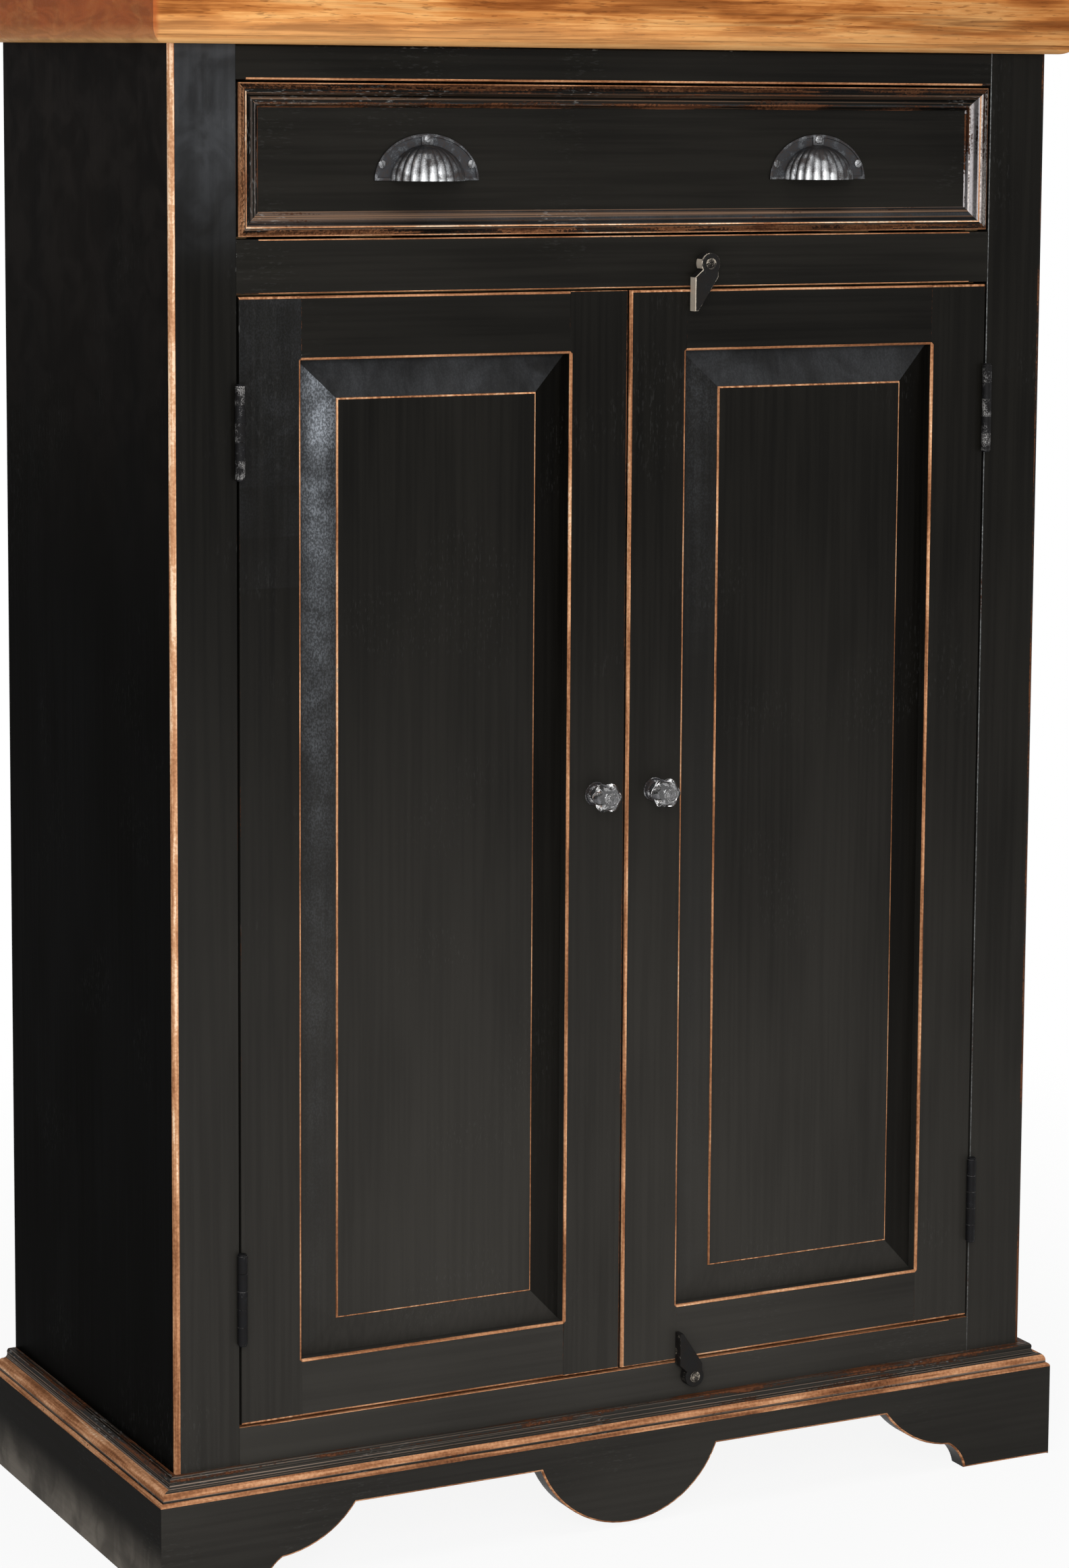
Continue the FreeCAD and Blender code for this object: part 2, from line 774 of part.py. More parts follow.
def make_door(side):
    """Framed door with a raised and bevelled panel, hinged on its outer edge."""
    prefix = f"{word(side)}_door"
    thick = (0, S.front_thickness)
    tall = (door_base, door_head)
    inner_near = door_near + S.door_stile_width
    inner_far = door_far - S.door_stile_width

    hinge_stile = board(f"{prefix}_hinge_stile", flip(side, inner_far, door_far), thick, tall)
    block(hinge_stile, "Subtractive", flip(side, inner_far, inner_far + S.groove_depth), groove, tall)
    for height in HINGE_HEIGHTS:
        block(hinge_stile, "Subtractive", flip(side, door_far - LEAF_RECESS, door_far),
              (0, S.leaf_depth), (height, height + S.hinge_length))
    keep(hinge_stile, f"{prefix}_hinge_stile")

    meeting_stile = board(f"{prefix}_meeting_stile", flip(side, door_near, inner_near), thick, tall)
    block(meeting_stile, "Subtractive", flip(side, inner_near - S.groove_depth, inner_near), groove, tall)
    drilled_hole(meeting_stile, side * knob_middle, thick, knob_height,
                 S.knob_bolt_radius + S.knob_bolt_clearance)
    keep(meeting_stile, f"{prefix}_meeting_stile")

    low_edge = door_base + S.door_bottom_rail
    high_edge = door_head - S.door_top_rail
    tongued = flip(side, inner_near - S.groove_depth + S.fit_gap, inner_far + S.groove_depth - S.fit_gap)
    rails = (
        ("top_rail", (high_edge, door_head), (high_edge, high_edge + S.groove_depth)),
        ("bottom_rail", (door_base, low_edge), (low_edge - S.groove_depth, low_edge)),
    )
    for rail, span, slot in rails:
        body = board(f"{prefix}_{rail}", flip(side, inner_near, inner_far), thick, span)
        block(body, "Additive", tongued, tongue, span)
        block(body, "Subtractive", tongued, groove, slot)
        keep(body, f"{prefix}_{rail}")

    make_panel(f"{prefix}_panel", flip(side, inner_near, inner_far), (low_edge, high_edge))


def grown(span, margin):
    """A span made longer by the margin at both ends."""
    return (span[0] - margin, span[1] + margin)


def make_panel(name, x, z):
    """Raised panel: a tongue all round, a broad bevel and a field just behind the frame's face."""
    hold = S.groove_depth - S.panel_play
    body = board(name, grown(x, hold), tongue, grown(z, hold))
    foot = sketch_on(body, "XZ", tongue[0])
    rectangle(foot, grown(x, -S.bevel_clearance), grown(z, -S.bevel_clearance))
    shoulder = S.field_set_back + S.field_shoulder
    field_spans = (grown(x, -S.bevel_width), grown(z, -S.bevel_width))
    brow = sketch_on(body, "XZ", shoulder)
    rectangle(brow, *field_spans)
    bevel = body.newObject("PartDesign::AdditiveLoft", "Bevel")
    bevel.Profile = foot
    bevel.Sections = [brow]
    field = sketch_on(body, "XZ", shoulder)
    rectangle(field, *field_spans)
    pad(body, field, S.field_shoulder)
    keep(body, name)


def knuckle_span(height, index):
    """Height span of one knuckle of a hinge that starts at the given height."""
    pitch = S.hinge_length / KNUCKLES
    low = height + pitch * index
    return (low + S.knuckle_gap / 2, low + pitch - S.knuckle_gap / 2)


def make_hinge_leaf(name, side, height, on_door):
    """One leaf with its knuckles, bored for the pin."""
    near_axis = S.leaf_gap / 2
    reach = (near_axis, near_axis + S.leaf_thickness)
    if on_door:
        reach = (-reach[1], -reach[0])
    span = flip(side, hinge_axis + reach[0], hinge_axis + reach[1])
    body = board(name, span, (0, S.leaf_depth), (height, height + S.hinge_length))
    bore = S.hinge_pin_radius + S.hinge_pin_clearance
    wall_middle = (bore + S.hinge_barrel_radius) / 2
    for index in range(KNUCKLES):
        if (index % 2 == 1) != on_door:
            continue
        tall = knuckle_span(height, index)
        block(body, "Additive", span, (wall_middle - hinge_axis_out, 0), tall)
        upright_cylinder(body, "Additive", side * hinge_axis, -hinge_axis_out, tall,
                         S.hinge_barrel_radius)
    upright_cylinder(body, "Subtractive", side * hinge_axis, -hinge_axis_out,
                     (height, height + S.hinge_length), bore)
    return body


def make_hinge_pin(name, side, height):
    """Pin with a flat button head at each end of the barrel."""
    body = new_body(name)
    ends = knuckle_span(height, 0)[0], knuckle_span(height, KNUCKLES - 1)[1]
    spots = (
        (ends, S.hinge_pin_radius),
        ((ends[1], ends[1] + S.hinge_pin_head), S.hinge_pin_head_radius),
        ((ends[0] - S.hinge_pin_head, ends[0]), S.hinge_pin_head_radius),
    )
    for span, radius in spots:
        upright_cylinder(body, "Additive", side * hinge_axis, -hinge_axis_out, span, radius)
    return body


def make_hinges():
    """Two butt hinges on each door: leaves let into stile and door, and loose pins."""
    pins = []
    for side in (LEFT, RIGHT):
        for owner, on_door in (("frame", False), ("door", True)):
            leaves = []
            for index, height in enumerate(HINGE_HEIGHTS, start=1):
                leaves.append(make_hinge_leaf(f"{word(side)}_{owner}_leaf_{index}", side, height, on_door))
            group(f"{word(side)}_hinge_{owner}_leaves", leaves)
        for index, height in enumerate(HINGE_HEIGHTS, start=1):
            pins.append(make_hinge_pin(f"{word(side)}_hinge_pin_{index}", side, height))
    group("hinge_pins", pins)


def make_knob(side):
    """Lobed glass knob on a metal rosette, held by a bolt through the meeting stile."""
    bore = S.knob_bolt_radius + S.knob_bolt_clearance
    spot = (side * knob_middle, 0, knob_height)

    rosette = new_body(f"{word(side)}_knob_rosette")
    turned(rosette, [
        (0, bore), (-S.rosette_thickness, bore), (-S.rosette_thickness, S.rosette_radius - S.rosette_lip),
        (-S.rosette_lip, S.rosette_radius, -S.rosette_swell), (0, S.rosette_radius),
    ])
    place(rosette, *spot)
    keep(rosette, f"{word(side)}_knob_rosette")

    knob = new_body(f"{word(side)}_knob")
    base = S.rosette_thickness
    neck_end = base + S.knob_neck_length
    lobe_length = (S.knob_reach - neck_end + S.knob_lobe_overlap) / 2
    lobe_middle = S.knob_reach - lobe_length
    bite = base + S.knob_bolt_bite
    turned(knob, [
        (-base, bore), (-bite, bore), (-bite, 0), (-lobe_middle, 0), (-lobe_middle, S.knob_neck_radius),
        (-neck_end, S.knob_neck_radius - S.rosette_lip), (-base, S.knob_neck_radius, S.rosette_lip),
    ])
    lobe = knob.newObject("PartDesign::AdditiveEllipsoid", "Lobe")
    bind(lobe, "Radius1", S.knob_lobe_radius)
    bind(lobe, "Radius2", S.knob_lobe_radius)
    bind(lobe, "Radius3", lobe_length)
    bind(lobe, "Placement.Base.x", S.knob_lobe_ring)
    bind(lobe, "Placement.Base.y", -lobe_middle)
    doc.recompute()
    lobes = knob.newObject("PartDesign::PolarPattern", "Lobes")
    lobes.Originals = [lobe]
    lobes.Axis = (origin_feature(knob, "Y_Axis"), [""])
    lobes.Angle = 360
    lobes.Occurrences = KNOB_LOBES
    knob.Tip = lobes
    doc.recompute()
    drilled_hole(knob, 0, (-bite, -base), 0, bore)
    place(knob, *spot)
    keep(knob, f"{word(side)}_knob")

    bolt = new_body(f"{word(side)}_knob_bolt")
    inside = S.front_thickness
    turned(bolt, [
        (inside + S.knob_bolt_head, 0), (inside + S.knob_bolt_head, S.knob_bolt_head_radius),
        (inside, S.knob_bolt_head_radius), (inside, S.knob_bolt_radius),
        (S.knob_bolt_clearance - bite, S.knob_bolt_radius), (S.knob_bolt_clearance - bite, 0),
    ])
    place(bolt, *spot)
    keep(bolt, f"{word(side)}_knob_bolt")


def button_outline(points):
    """Round head and a long tapered tip; points is 1 for a tip that stands up, -1 for one that hangs."""
    neck = S.button_neck_half
    sag = S.button_head_radius + S.button_neck_drop
    hanging = [
        (-S.button_tip_out, -S.button_tip_drop),
        (S.button_tip_width - S.button_tip_out, -S.button_tip_drop),
        (neck, -S.button_shoulder_drop),
        (neck, -S.button_neck_drop),
        (-neck, -S.button_neck_drop, sag),
        (-S.button_tip_out, -S.button_shoulder_drop),
    ]
    if points < 0:
        return hanging
    return [(step[0], -as_size(step[1]), *(-as_size(bulge) for bulge in step[2:])) for step in hanging]


def make_turn_buttons():
    """Two turn buttons, each on a shouldered screw that holds it off the doors."""
    screws = []
    back = S.button_stand_off
    face = back + S.button_thickness
    bore = S.button_screw_radius + S.button_screw_clearance
    for name, (across_x, height) in BUTTON_PIVOTS.items():
        label = f"{name}_turn_button"
        body = new_body(label)
        sketch = sketch_on(body, "XZ", -back)
        draw(sketch, button_outline(BUTTON_POINTS[name]))
        pad(body, sketch, S.button_thickness)
        drilled_hole(body, 0, (-face, -back), 0, bore)
        round_over(body, S.button_edge, lambda box: near(box.YMin, -face) and near(box.YMax, -face)
                   and not near(box.XMax, bore))
        place(body, across_x, 0, height)
        keep(body, label)

        screw = new_body(f"{name}_button_screw")
        head = face + S.fit_gap
        turned(screw, [
            (S.button_screw_bite, 0), (S.button_screw_bite, S.button_screw_radius),
            (0, S.button_screw_radius), (0, S.button_screw_head_radius),
            (S.fit_gap - back, S.button_screw_head_radius), (S.fit_gap - back, S.button_screw_radius),
            (-head, S.button_screw_radius), (-head, S.button_screw_head_radius),
            (-head - S.button_screw_head, 0, -S.button_screw_swell),
        ])
        place(screw, across_x, 0, height)
        screws.append(screw)
    group("turn_button_screws", screws)


def drawer_moulding_section():
    """Section of the drawer's edge moulding: (distance from the outer edge, depth behind the face)."""
    step = S.drawer_moulding_land + S.drawer_moulding_quirk
    bead = S.drawer_moulding_width - S.drawer_moulding_bead
    return [
        (0, S.drawer_moulding_depth),
        (0, 0),
        (S.drawer_moulding_land, 0),
        (S.drawer_moulding_land, S.drawer_moulding_step),
        (step, S.drawer_moulding_step),
        (bead, S.drawer_moulding_depth - S.drawer_moulding_quirk, S.drawer_moulding_hollow),
        (S.drawer_moulding_width, S.drawer_moulding_depth, -S.drawer_moulding_hollow),
    ]


def make_drawer_mouldings():
    """Four mitred strips round the drawer front."""
    wide = S.drawer_moulding_width
    strips = []
    for end, edge in (("lower", drawer_base), ("upper", drawer_head)):
        inward = 1 if end == "lower" else -1
        body = new_body(f"{end}_drawer_strip")
        sketch = sketch_on(body, "YZ", -drawer_out)
        draw(sketch, [(step[1], edge + inward * as_size(step[0]), *(inward * bulge for bulge in step[2:]))
                      for step in drawer_moulding_section()])
        pad(body, sketch, 2 * drawer_out)
        for side in (LEFT, RIGHT):
            corner = [(drawer_out, edge), (drawer_out, edge + inward * wide),
                      (drawer_out - wide, edge + inward * wide)]
            cut_down(body, "XZ", 0, corner if side == RIGHT else mirrored(corner))
        strips.append(body)
    for side in (LEFT, RIGHT):
        body = new_body(f"{word(side)}_drawer_strip")
        sketch = sketch_on(body, "XY", drawer_base)
        section = [(drawer_out - step[0], *step[1:]) for step in drawer_moulding_section()]
        draw(sketch, section if side == RIGHT else mirrored(section))
        pad(body, sketch, drawer_head - drawer_base)
        for edge, inward in ((drawer_base, 1), (drawer_head, -1)):
            corner = [(drawer_out, edge), (drawer_out - wide, edge),
                      (drawer_out - wide, edge + inward * wide)]
            cut_down(body, "XZ", 0, corner if side == RIGHT else mirrored(corner))
        strips.append(body)
    group("drawer_front_mouldings", strips)


def pull_screw_spots():
    """Screws of one pull, from the middle of its lower edge: one at the top and one at each side."""
    side_x = (pull_half_width + S.cup_half_width) / 2
    side_z = S.pull_side_screw_rise
    top_z = (pull_rise + S.cup_rise) / 2
    return [(-side_x, side_z), (as_size(0), top_z), (side_x, side_z)]


def make_drawer():
    """Drawer box: lapped front, two sides, a back above the bottom, and the bottom in grooves."""
    thick = (S.drawer_moulding_depth, S.front_thickness)
    side_in = drawer_out - S.drawer_side_thickness
    grooved = side_in + S.drawer_bottom_groove
    slot = (drawer_floor - S.fit_gap, drawer_floor_top + S.fit_gap)
    lap = S.front_thickness - S.drawer_lap

    body = board("drawer_front", across(drawer_out), thick, (drawer_base, drawer_head))
    for side in (LEFT, RIGHT):
        block(body, "Subtractive", flip(side, side_in, drawer_out),
              (lap, S.front_thickness), (drawer_base, drawer_head))
        for x, z in pull_screw_spots():
            drilled_hole(body, side * S.pull_from_middle + x, (thick[0], thick[0] + S.pull_screw_bite),
                         pull_height + z, S.pull_screw_radius + S.pull_screw_clearance)
    block(body, "Subtractive", across(grooved),
          (S.front_thickness - S.drawer_bottom_groove, S.front_thickness), slot)
    keep(body, "drawer_front")

    for side in (LEFT, RIGHT):
        name = f"drawer_{word(side)}_side"
        body = board(name, flip(side, side_in, drawer_out), (lap, drawer_end),
                     (drawer_low + S.drawer_run_gap, drawer_head))
        block(body, "Subtractive", flip(side, side_in, grooved), (lap, drawer_end), slot)
        keep(body, name)
    keep(board("drawer_back", across(side_in), (drawer_end - S.drawer_side_thickness, drawer_end),
               (drawer_floor_top, drawer_head - S.drawer_back_drop)), "drawer_back")
    bottom_front = S.front_thickness - S.drawer_bottom_groove + S.fit_gap
    keep(board("drawer_bottom", across(grooved - S.fit_gap), (bottom_front, drawer_end),
               (drawer_floor, drawer_floor_top)), "drawer_bottom")


def cup_section(level, inset, fluted):
    """One level of the cup: a half ellipse against the drawer face, scalloped if fluted."""
    share = math.sqrt(1 - level ** 2)
    reach = S.cup_half_width.value * share - inset
    depth = S.cup_depth.value * share - inset
    height = (S.cup_rise.value - inset) * level
    flute = S.cup_flute_depth.value * share

    def rim(turn, outward=0.0):
        """Point of the rim at a part of its half turn."""
        x = (reach + outward) * math.cos(math.pi * turn)
        y = -(depth + outward) * math.sin(math.pi * turn)
        return FreeCAD.Vector(x, y, height)

    edges = []
    for index in range(CUP_FLUTES):
        ends = [rim((index + step) / CUP_FLUTES) for step in (0, 1)]
        crest = rim((index + 0.5) / CUP_FLUTES, flute if fluted else 0.0)
        edges.append(Part.Arc(ends[0], crest, ends[1]).toShape())
    edges.append(Part.makeLine(edges[-1].Vertexes[-1].Point, edges[0].Vertexes[0].Point))
    return Part.Wire(edges)


def cup_solid(inset, top, fluted):
    """The cup's outer form, or the hollow inside it."""
    levels = [level for level in CUP_LEVELS if level <= top]
    return Part.makeLoft([cup_section(level, inset, fluted) for level in levels], True, True)


def half_ellipse_plate(half_width, rise, thickness):
    """A plate with a straight lower edge and a half-elliptic outline."""
    low, high = sorted((half_width, rise))
    ellipse = Part.Ellipse(FreeCAD.Vector(), high, low)
    edge = Part.ArcOfEllipse(ellipse, 0, math.pi).toShape()
    if rise > half_width:
        edge.rotate(FreeCAD.Vector(), FreeCAD.Vector(0, 0, 1), 90)
    edge.rotate(FreeCAD.Vector(), FreeCAD.Vector(1, 0, 0), 90)
    line = Part.makeLine(edge.Vertexes[-1].Point, edge.Vertexes[0].Point)
    return Part.Face(Part.Wire([edge, line])).extrude(FreeCAD.Vector(0, -thickness, 0))


def cup_pull_shape():
    """Fluted cup on a half-round flange with three screw holes."""
    flange = half_ellipse_plate(pull_half_width.value, pull_rise.value, S.pull_flange_thickness.value)
    cup = cup_solid(0.0, 1.0, True)
    hollow = cup_solid(S.cup_wall.value, CUP_HOLLOW_TOP, False)
    shape = flange.fuse(cup).cut(hollow)
    radius = S.pull_screw_radius.value + S.pull_screw_clearance.value
    for x, z in pull_screw_spots():
        hole = Part.makeCylinder(radius, S.pull_flange_thickness.value, FreeCAD.Vector(x.value, 0, z.value),
                                 FreeCAD.Vector(0, -1, 0))
        shape = shape.cut(hole)
    return shape.removeSplitter()


def make_cup_pulls():
    """Two cup pulls and the screws that hold them."""
    screws = []
    seat = S.drawer_moulding_depth
    for side in (LEFT, RIGHT):
        name = f"{word(side)}_cup_pull"
        pull = doc.addObject("Part::Feature", name)
        pull.Shape = cup_pull_shape()
        place(pull, side * S.pull_from_middle, seat, pull_height)
        keep(pull, name)
        for index, (x, z) in enumerate(pull_screw_spots(), start=1):
            screw = new_body(f"{word(side)}_pull_screw_{index}")
            face = S.pull_flange_thickness
            turned(screw, [
                (S.pull_screw_bite - S.fit_gap, 0), (S.pull_screw_bite - S.fit_gap, S.pull_screw_radius),
                (-face, S.pull_screw_radius), (-face, S.pull_screw_head_radius),
                (-face - S.pull_screw_head, 0, -S.pull_screw_swell),
            ])
            place(screw, side * S.pull_from_middle + x, seat, pull_height + z)
            screws.append(screw)
    group("cup_pull_screws", screws)


def check_model():
    """Stop if any feature failed, any cut removed nothing, or any sub-part isn't sound."""
    doc.recompute()
    for item in doc.Objects:
        if "Invalid" in item.State or "Error" in item.State:
            raise RuntimeError(f"{item.Name} of {item.getParentGroup()} failed: {item.State}")
        base = getattr(item, "BaseFeature", None)
        cuts = item.TypeId.startswith("PartDesign::Subtractive") or item.TypeId == "PartDesign::Pocket"
        if cuts and base is not None and item.Shape.Volume >= base.Shape.Volume - NO_CUT:
            raise RuntimeError(f"{item.Name} removes nothing")
    for piece in nodes:
        if piece.Shape.isNull() or not piece.Shape.isValid() or not piece.Shape.Solids:
            raise RuntimeError(f"{piece.Label} isn't a sound solid")


def main():
    """Build every sub-part and write it."""
    make_top()
    make_sides()
    make_back()
    make_face_frame()
    make_inside()
    make_plinth()
    make_base_moulding()
    for side in (LEFT, RIGHT):
        make_door(side)
    make_hinges()
    for side in (LEFT, RIGHT):
        make_knob(side)
    make_turn_buttons()
    make_drawer()
    make_drawer_mouldings()
    make_cup_pulls()
    check_model()
    os.makedirs("parts", exist_ok=True)
    for piece in nodes:
        piece.Shape.exportStep(f"parts/{piece.Label}.step")
        print(piece.Label, len(piece.Shape.Solids), round(piece.Shape.Volume / 1000, 2))


main()
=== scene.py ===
"""Dresses a rubbed black highboard over its CAD frame, for the photograph's view and for any other.

Lengths are metres. +X is to the right as one faces the doors, +Y to the back, +Z up.
"""
import logging
import math
from contextlib import contextmanager
from dataclasses import dataclass, replace
from enum import Enum
from typing import Callable, Iterator, Protocol, Sequence

import bmesh
import bpy
from mathutils import Matrix, Vector


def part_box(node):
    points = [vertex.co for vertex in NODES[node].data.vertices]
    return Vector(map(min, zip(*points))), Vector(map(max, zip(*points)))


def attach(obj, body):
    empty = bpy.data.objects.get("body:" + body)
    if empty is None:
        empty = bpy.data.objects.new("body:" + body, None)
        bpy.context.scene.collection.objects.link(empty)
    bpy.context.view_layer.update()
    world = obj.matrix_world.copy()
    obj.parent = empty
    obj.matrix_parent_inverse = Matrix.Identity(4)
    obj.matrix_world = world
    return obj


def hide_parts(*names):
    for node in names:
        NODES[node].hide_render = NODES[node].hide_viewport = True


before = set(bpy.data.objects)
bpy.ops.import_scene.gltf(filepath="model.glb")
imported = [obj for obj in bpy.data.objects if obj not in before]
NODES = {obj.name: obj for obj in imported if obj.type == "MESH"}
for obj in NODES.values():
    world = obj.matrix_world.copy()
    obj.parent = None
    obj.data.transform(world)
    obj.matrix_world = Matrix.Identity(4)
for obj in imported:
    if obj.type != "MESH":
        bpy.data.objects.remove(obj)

LOG = logging.getLogger("highboard")
MM = 0.001
IMAGE_HEIGHT = 2324
SENSOR_MM = 36.0
NEAR = 0.15 * MM
STRAIGHT = 0.999
SQUARE = 0.9
MERGE = 0.01 * MM
ONE_PLANE = math.radians(0.4)
SHARP = math.radians(15)
ROUNDED = math.radians(50)
QUARTER_TURN = math.radians(90)
ORIGIN = Vector((0.0, 0.0, 0.0))
WHITE = (1.0, 1.0, 1.0)
WEAR = "wear"
PAINTED_SHEEN = "haze"
PAINT_SLOT = "black_paint"
METAL_SLOT = "antique_metal"
IRON_SLOT = "black_iron"
GLASS_SLOT = "knob_glass"
SIDES = {"left": -1, "right": 1}

Colour = tuple[float, float, float]
Stops = tuple[tuple[float, Colour], ...]
Steps = Sequence[tuple[float, float]]
Face = bmesh.types.BMFace | bpy.types.MeshPolygon
FaceTest = Callable[[Face], bool]
FaceValue = Callable[[Face], float]
EdgeTest = Callable[[bmesh.types.BMEdge], bool]


class Grain(Enum):
    """The way a board's grain and brush marks run."""

    UPRIGHT = "Z"
    LEVEL = "X"
    DEEP = "Y"


class Socket:
    """One value of a node tree; arithmetic on it adds Math nodes."""

    def __init__(self, tree: "NodeTree", link: bpy.types.NodeSocket) -> None:
        """Wrap a node's output."""
        self.tree = tree
        self.link = link

    def combine(self, operation: str, first: object, second: object) -> "Socket":
        """Add one Math node.

        Args:
            operation: The Math node's operation.
            first: Its first value, a number or a Socket.
            second: Its second value.

        Returns:
            The node's result.
        """
        return self.tree.node("ShaderNodeMath", {"operation": operation}, {0: first, 1: second})

    def __add__(self, other: object) -> "Socket":
        """Sum."""
        return self.combine("ADD", self, other)

    def __radd__(self, other: object) -> "Socket":
        """Sum with a number in front."""
        return self.combine("ADD", other, self)

    def __sub__(self, other: object) -> "Socket":
        """Difference."""
        return self.combine("SUBTRACT", self, other)

    def __rsub__(self, other: object) -> "Socket":
        """Difference from a number."""
        return self.combine("SUBTRACT", other, self)

    def __mul__(self, other: object) -> "Socket":
        """Product."""
        return self.combine("MULTIPLY", self, other)

    def __rmul__(self, other: object) -> "Socket":
        """Product with a number in front."""
        return self.combine("MULTIPLY", other, self)

    def __abs__(self) -> "Socket":
        """Size without the sign."""
        return self.combine("ABSOLUTE", self, 0.0)

    def at_least(self, other: object) -> "Socket":
        """The larger of two values."""
        return self.combine("MAXIMUM", self, other)

    def between(self, low: float, high: float) -> "Socket":
        """A smooth step.

        Args:
            low: Where the result is 0.
            high: Where the result is 1.

        Returns:
            The value moved from low..high to 0..1, with soft ends.
        """
        settings = {"interpolation_type": "SMOOTHSTEP"}
        return self.tree.node("ShaderNodeMapRange", settings, {0: self, 1: low, 2: high, 3: 0.0, 4: 1.0})


class NodeTree:
    """A node tree that is filled from expressions."""

    def __init__(self, tree: bpy.types.NodeTree) -> None:
        """Take a tree and empty it."""
        self.tree = tree
        self.tree.nodes.clear()

    def node(self, kind: str, settings: dict[str, object], inputs: dict[object, object],
             out: object = 0) -> Socket:
        """Make any node.

        Args:
            kind: The node's type.
            settings: Its own settings; a ramp's stops go in as "stops".
            inputs: Values or Sockets for its sockets, by name or number.
            out: The output wanted.

        Returns:
            That output.
        """
        made = self.tree.nodes.new(kind)
        for key, value in settings.items():
            if key == "stops":
                self.set_stops(made.color_ramp, value)
            else:
                setattr(made, key, value)
        for key, value in inputs.items():
            self.feed(made.inputs[key], value)
        return Socket(self, made.outputs[out])

    def feed(self, target: bpy.types.NodeSocket, value: object) -> None:
        """Link or set one socket.

        Args:
            target: The socket.
            value: A Socket to link, or a number, colour or vector to set.
        """
        if isinstance(value, Socket):
            self.tree.links.new(value.link, target)
        elif isinstance(value, tuple) and target.type == "RGBA":
            target.default_value = (*value, 1.0)
        else:
            target.default_value = value

    @staticmethod
    def set_stops(ramp: bpy.types.ColorRamp, stops: Stops) -> None:
        """Give a colour ramp its stops.

        Args:
            ramp: The ramp.
            stops: Place and colour of each.
        """
        while len(ramp.elements) < len(stops):
            ramp.elements.new(1.0)
        for element, (place, colour) in zip(ramp.elements, stops):
            element.position = place
            element.color = (*colour, 1.0)

    def end(self, kind: str, surface: Socket) -> None:
        """Close the tree with an output node of the given type."""
        self.feed(self.tree.nodes.new(kind).inputs["Surface"], surface)


@dataclass(frozen=True)
class Pattern:
    """Noise that is cut to 0..1.

    run is its fineness per metre: one number for all ways, two for along and across the grain, or three by
    axis. Raw noise of low becomes 0 and of high becomes 1. bend distorts the noise, and shift moves it after
    run has scaled it.
    """

    run: tuple[float, ...]
    detail: float = 3.0
    bend: float = 0.0
    low: float = 0.32
    high: float = 0.68
    shift: float = 0.0

    def scale(self, grain: Grain) -> tuple[float, ...]:
        """The fineness by axis.

        Args:
            grain: The way that a pattern with two numbers runs.

        Returns:
            One number for each axis.
        """
        if len(self.run) == 2:
            along, over = self.run
            return tuple(along if letter == grain.value else over for letter in "XYZ")
        return self.run if len(self.run) == 3 else 3 * self.run


class Shader(NodeTree):
    """A material's node tree, which ends in a Principled shader."""

    def __init__(self, name: str) -> None:
        """Start an empty material.

        Args:
            name: Its name.
        """
        self.material = bpy.data.materials.new(name)
        self.material.use_nodes = True
        super().__init__(self.material.node_tree)
        self.surface = self.tree.nodes.new("ShaderNodeBsdfPrincipled")
        self.end("ShaderNodeOutputMaterial", Socket(self, self.surface.outputs[0]))
        self.here = self.node("ShaderNodeTexCoord", {}, {}, "Object")

    def attribute(self, name: str) -> Socket:
        """A number stored on the mesh."""
        return self.node("ShaderNodeAttribute", {"attribute_name": name}, {}, "Fac")

    def axis(self, letter: str) -> Socket:
        """One coordinate of the surface point."""
        return self.node("ShaderNodeSeparateXYZ", {}, {0: self.here}, letter)

    def noise(self, pattern: Pattern, grain: Grain = Grain.UPRIGHT) -> Socket:
        """Noise spread over the whole of 0..1.

        Args:
            pattern: Its fineness and form.
            grain: The way that it runs.

        Returns:
            The noise.
        """
        where = self.node("ShaderNodeMapping", {}, {
            "Vector": self.here, "Scale": Vector(pattern.scale(grain)),
            "Location": Vector(3 * (pattern.shift,))})
        raw = self.node("ShaderNodeTexNoise", {}, {
            "Vector": where, "Scale": 1.0, "Detail": pattern.detail, "Distortion": pattern.bend}, "Fac")
        return raw.between(pattern.low, pattern.high)

    def mix(self, share: object, first: object, second: object) -> Socket:
        """Mix two colours.

        Args:
            share: How much of the second shows.
            first: A colour or a colour Socket.
            second: The other one.

        Returns:
            The mixed colour.
        """
        settings = {"data_type": "RGBA"}
        return self.node("ShaderNodeMix", settings, {0: share, 6: first, 7: second}, 2)

    def ramp(self, share: Socket, stops: Stops) -> Socket:
        """A colour taken from a ramp."""
        return self.node("ShaderNodeValToRGB", {"stops": stops}, {0: share})

    def bump(self, height: Socket, depth: float, strength: float) -> None:
        """Raise the surface by a height map of the given depth."""
        normal = self.node("ShaderNodeBump", {}, {"Height": height, "Distance": depth, "Strength": strength})
        self.feed(self.surface.inputs["Normal"], normal)

    def finish(self, **values: object) -> bpy.types.Material:
        """Set the Principled sockets.

        Args:
            values: A value or a Socket for each, named with underscores.

        Returns:
            The finished material.
        """
        for name, value in values.items():
            self.feed(self.surface.inputs[name.replace("_", " ").replace("ior", "IOR")], value)
        return self.material


class Finish(Protocol):
    """What every finish can do."""

    def make(self) -> bpy.types.Material:
        """Build the material."""


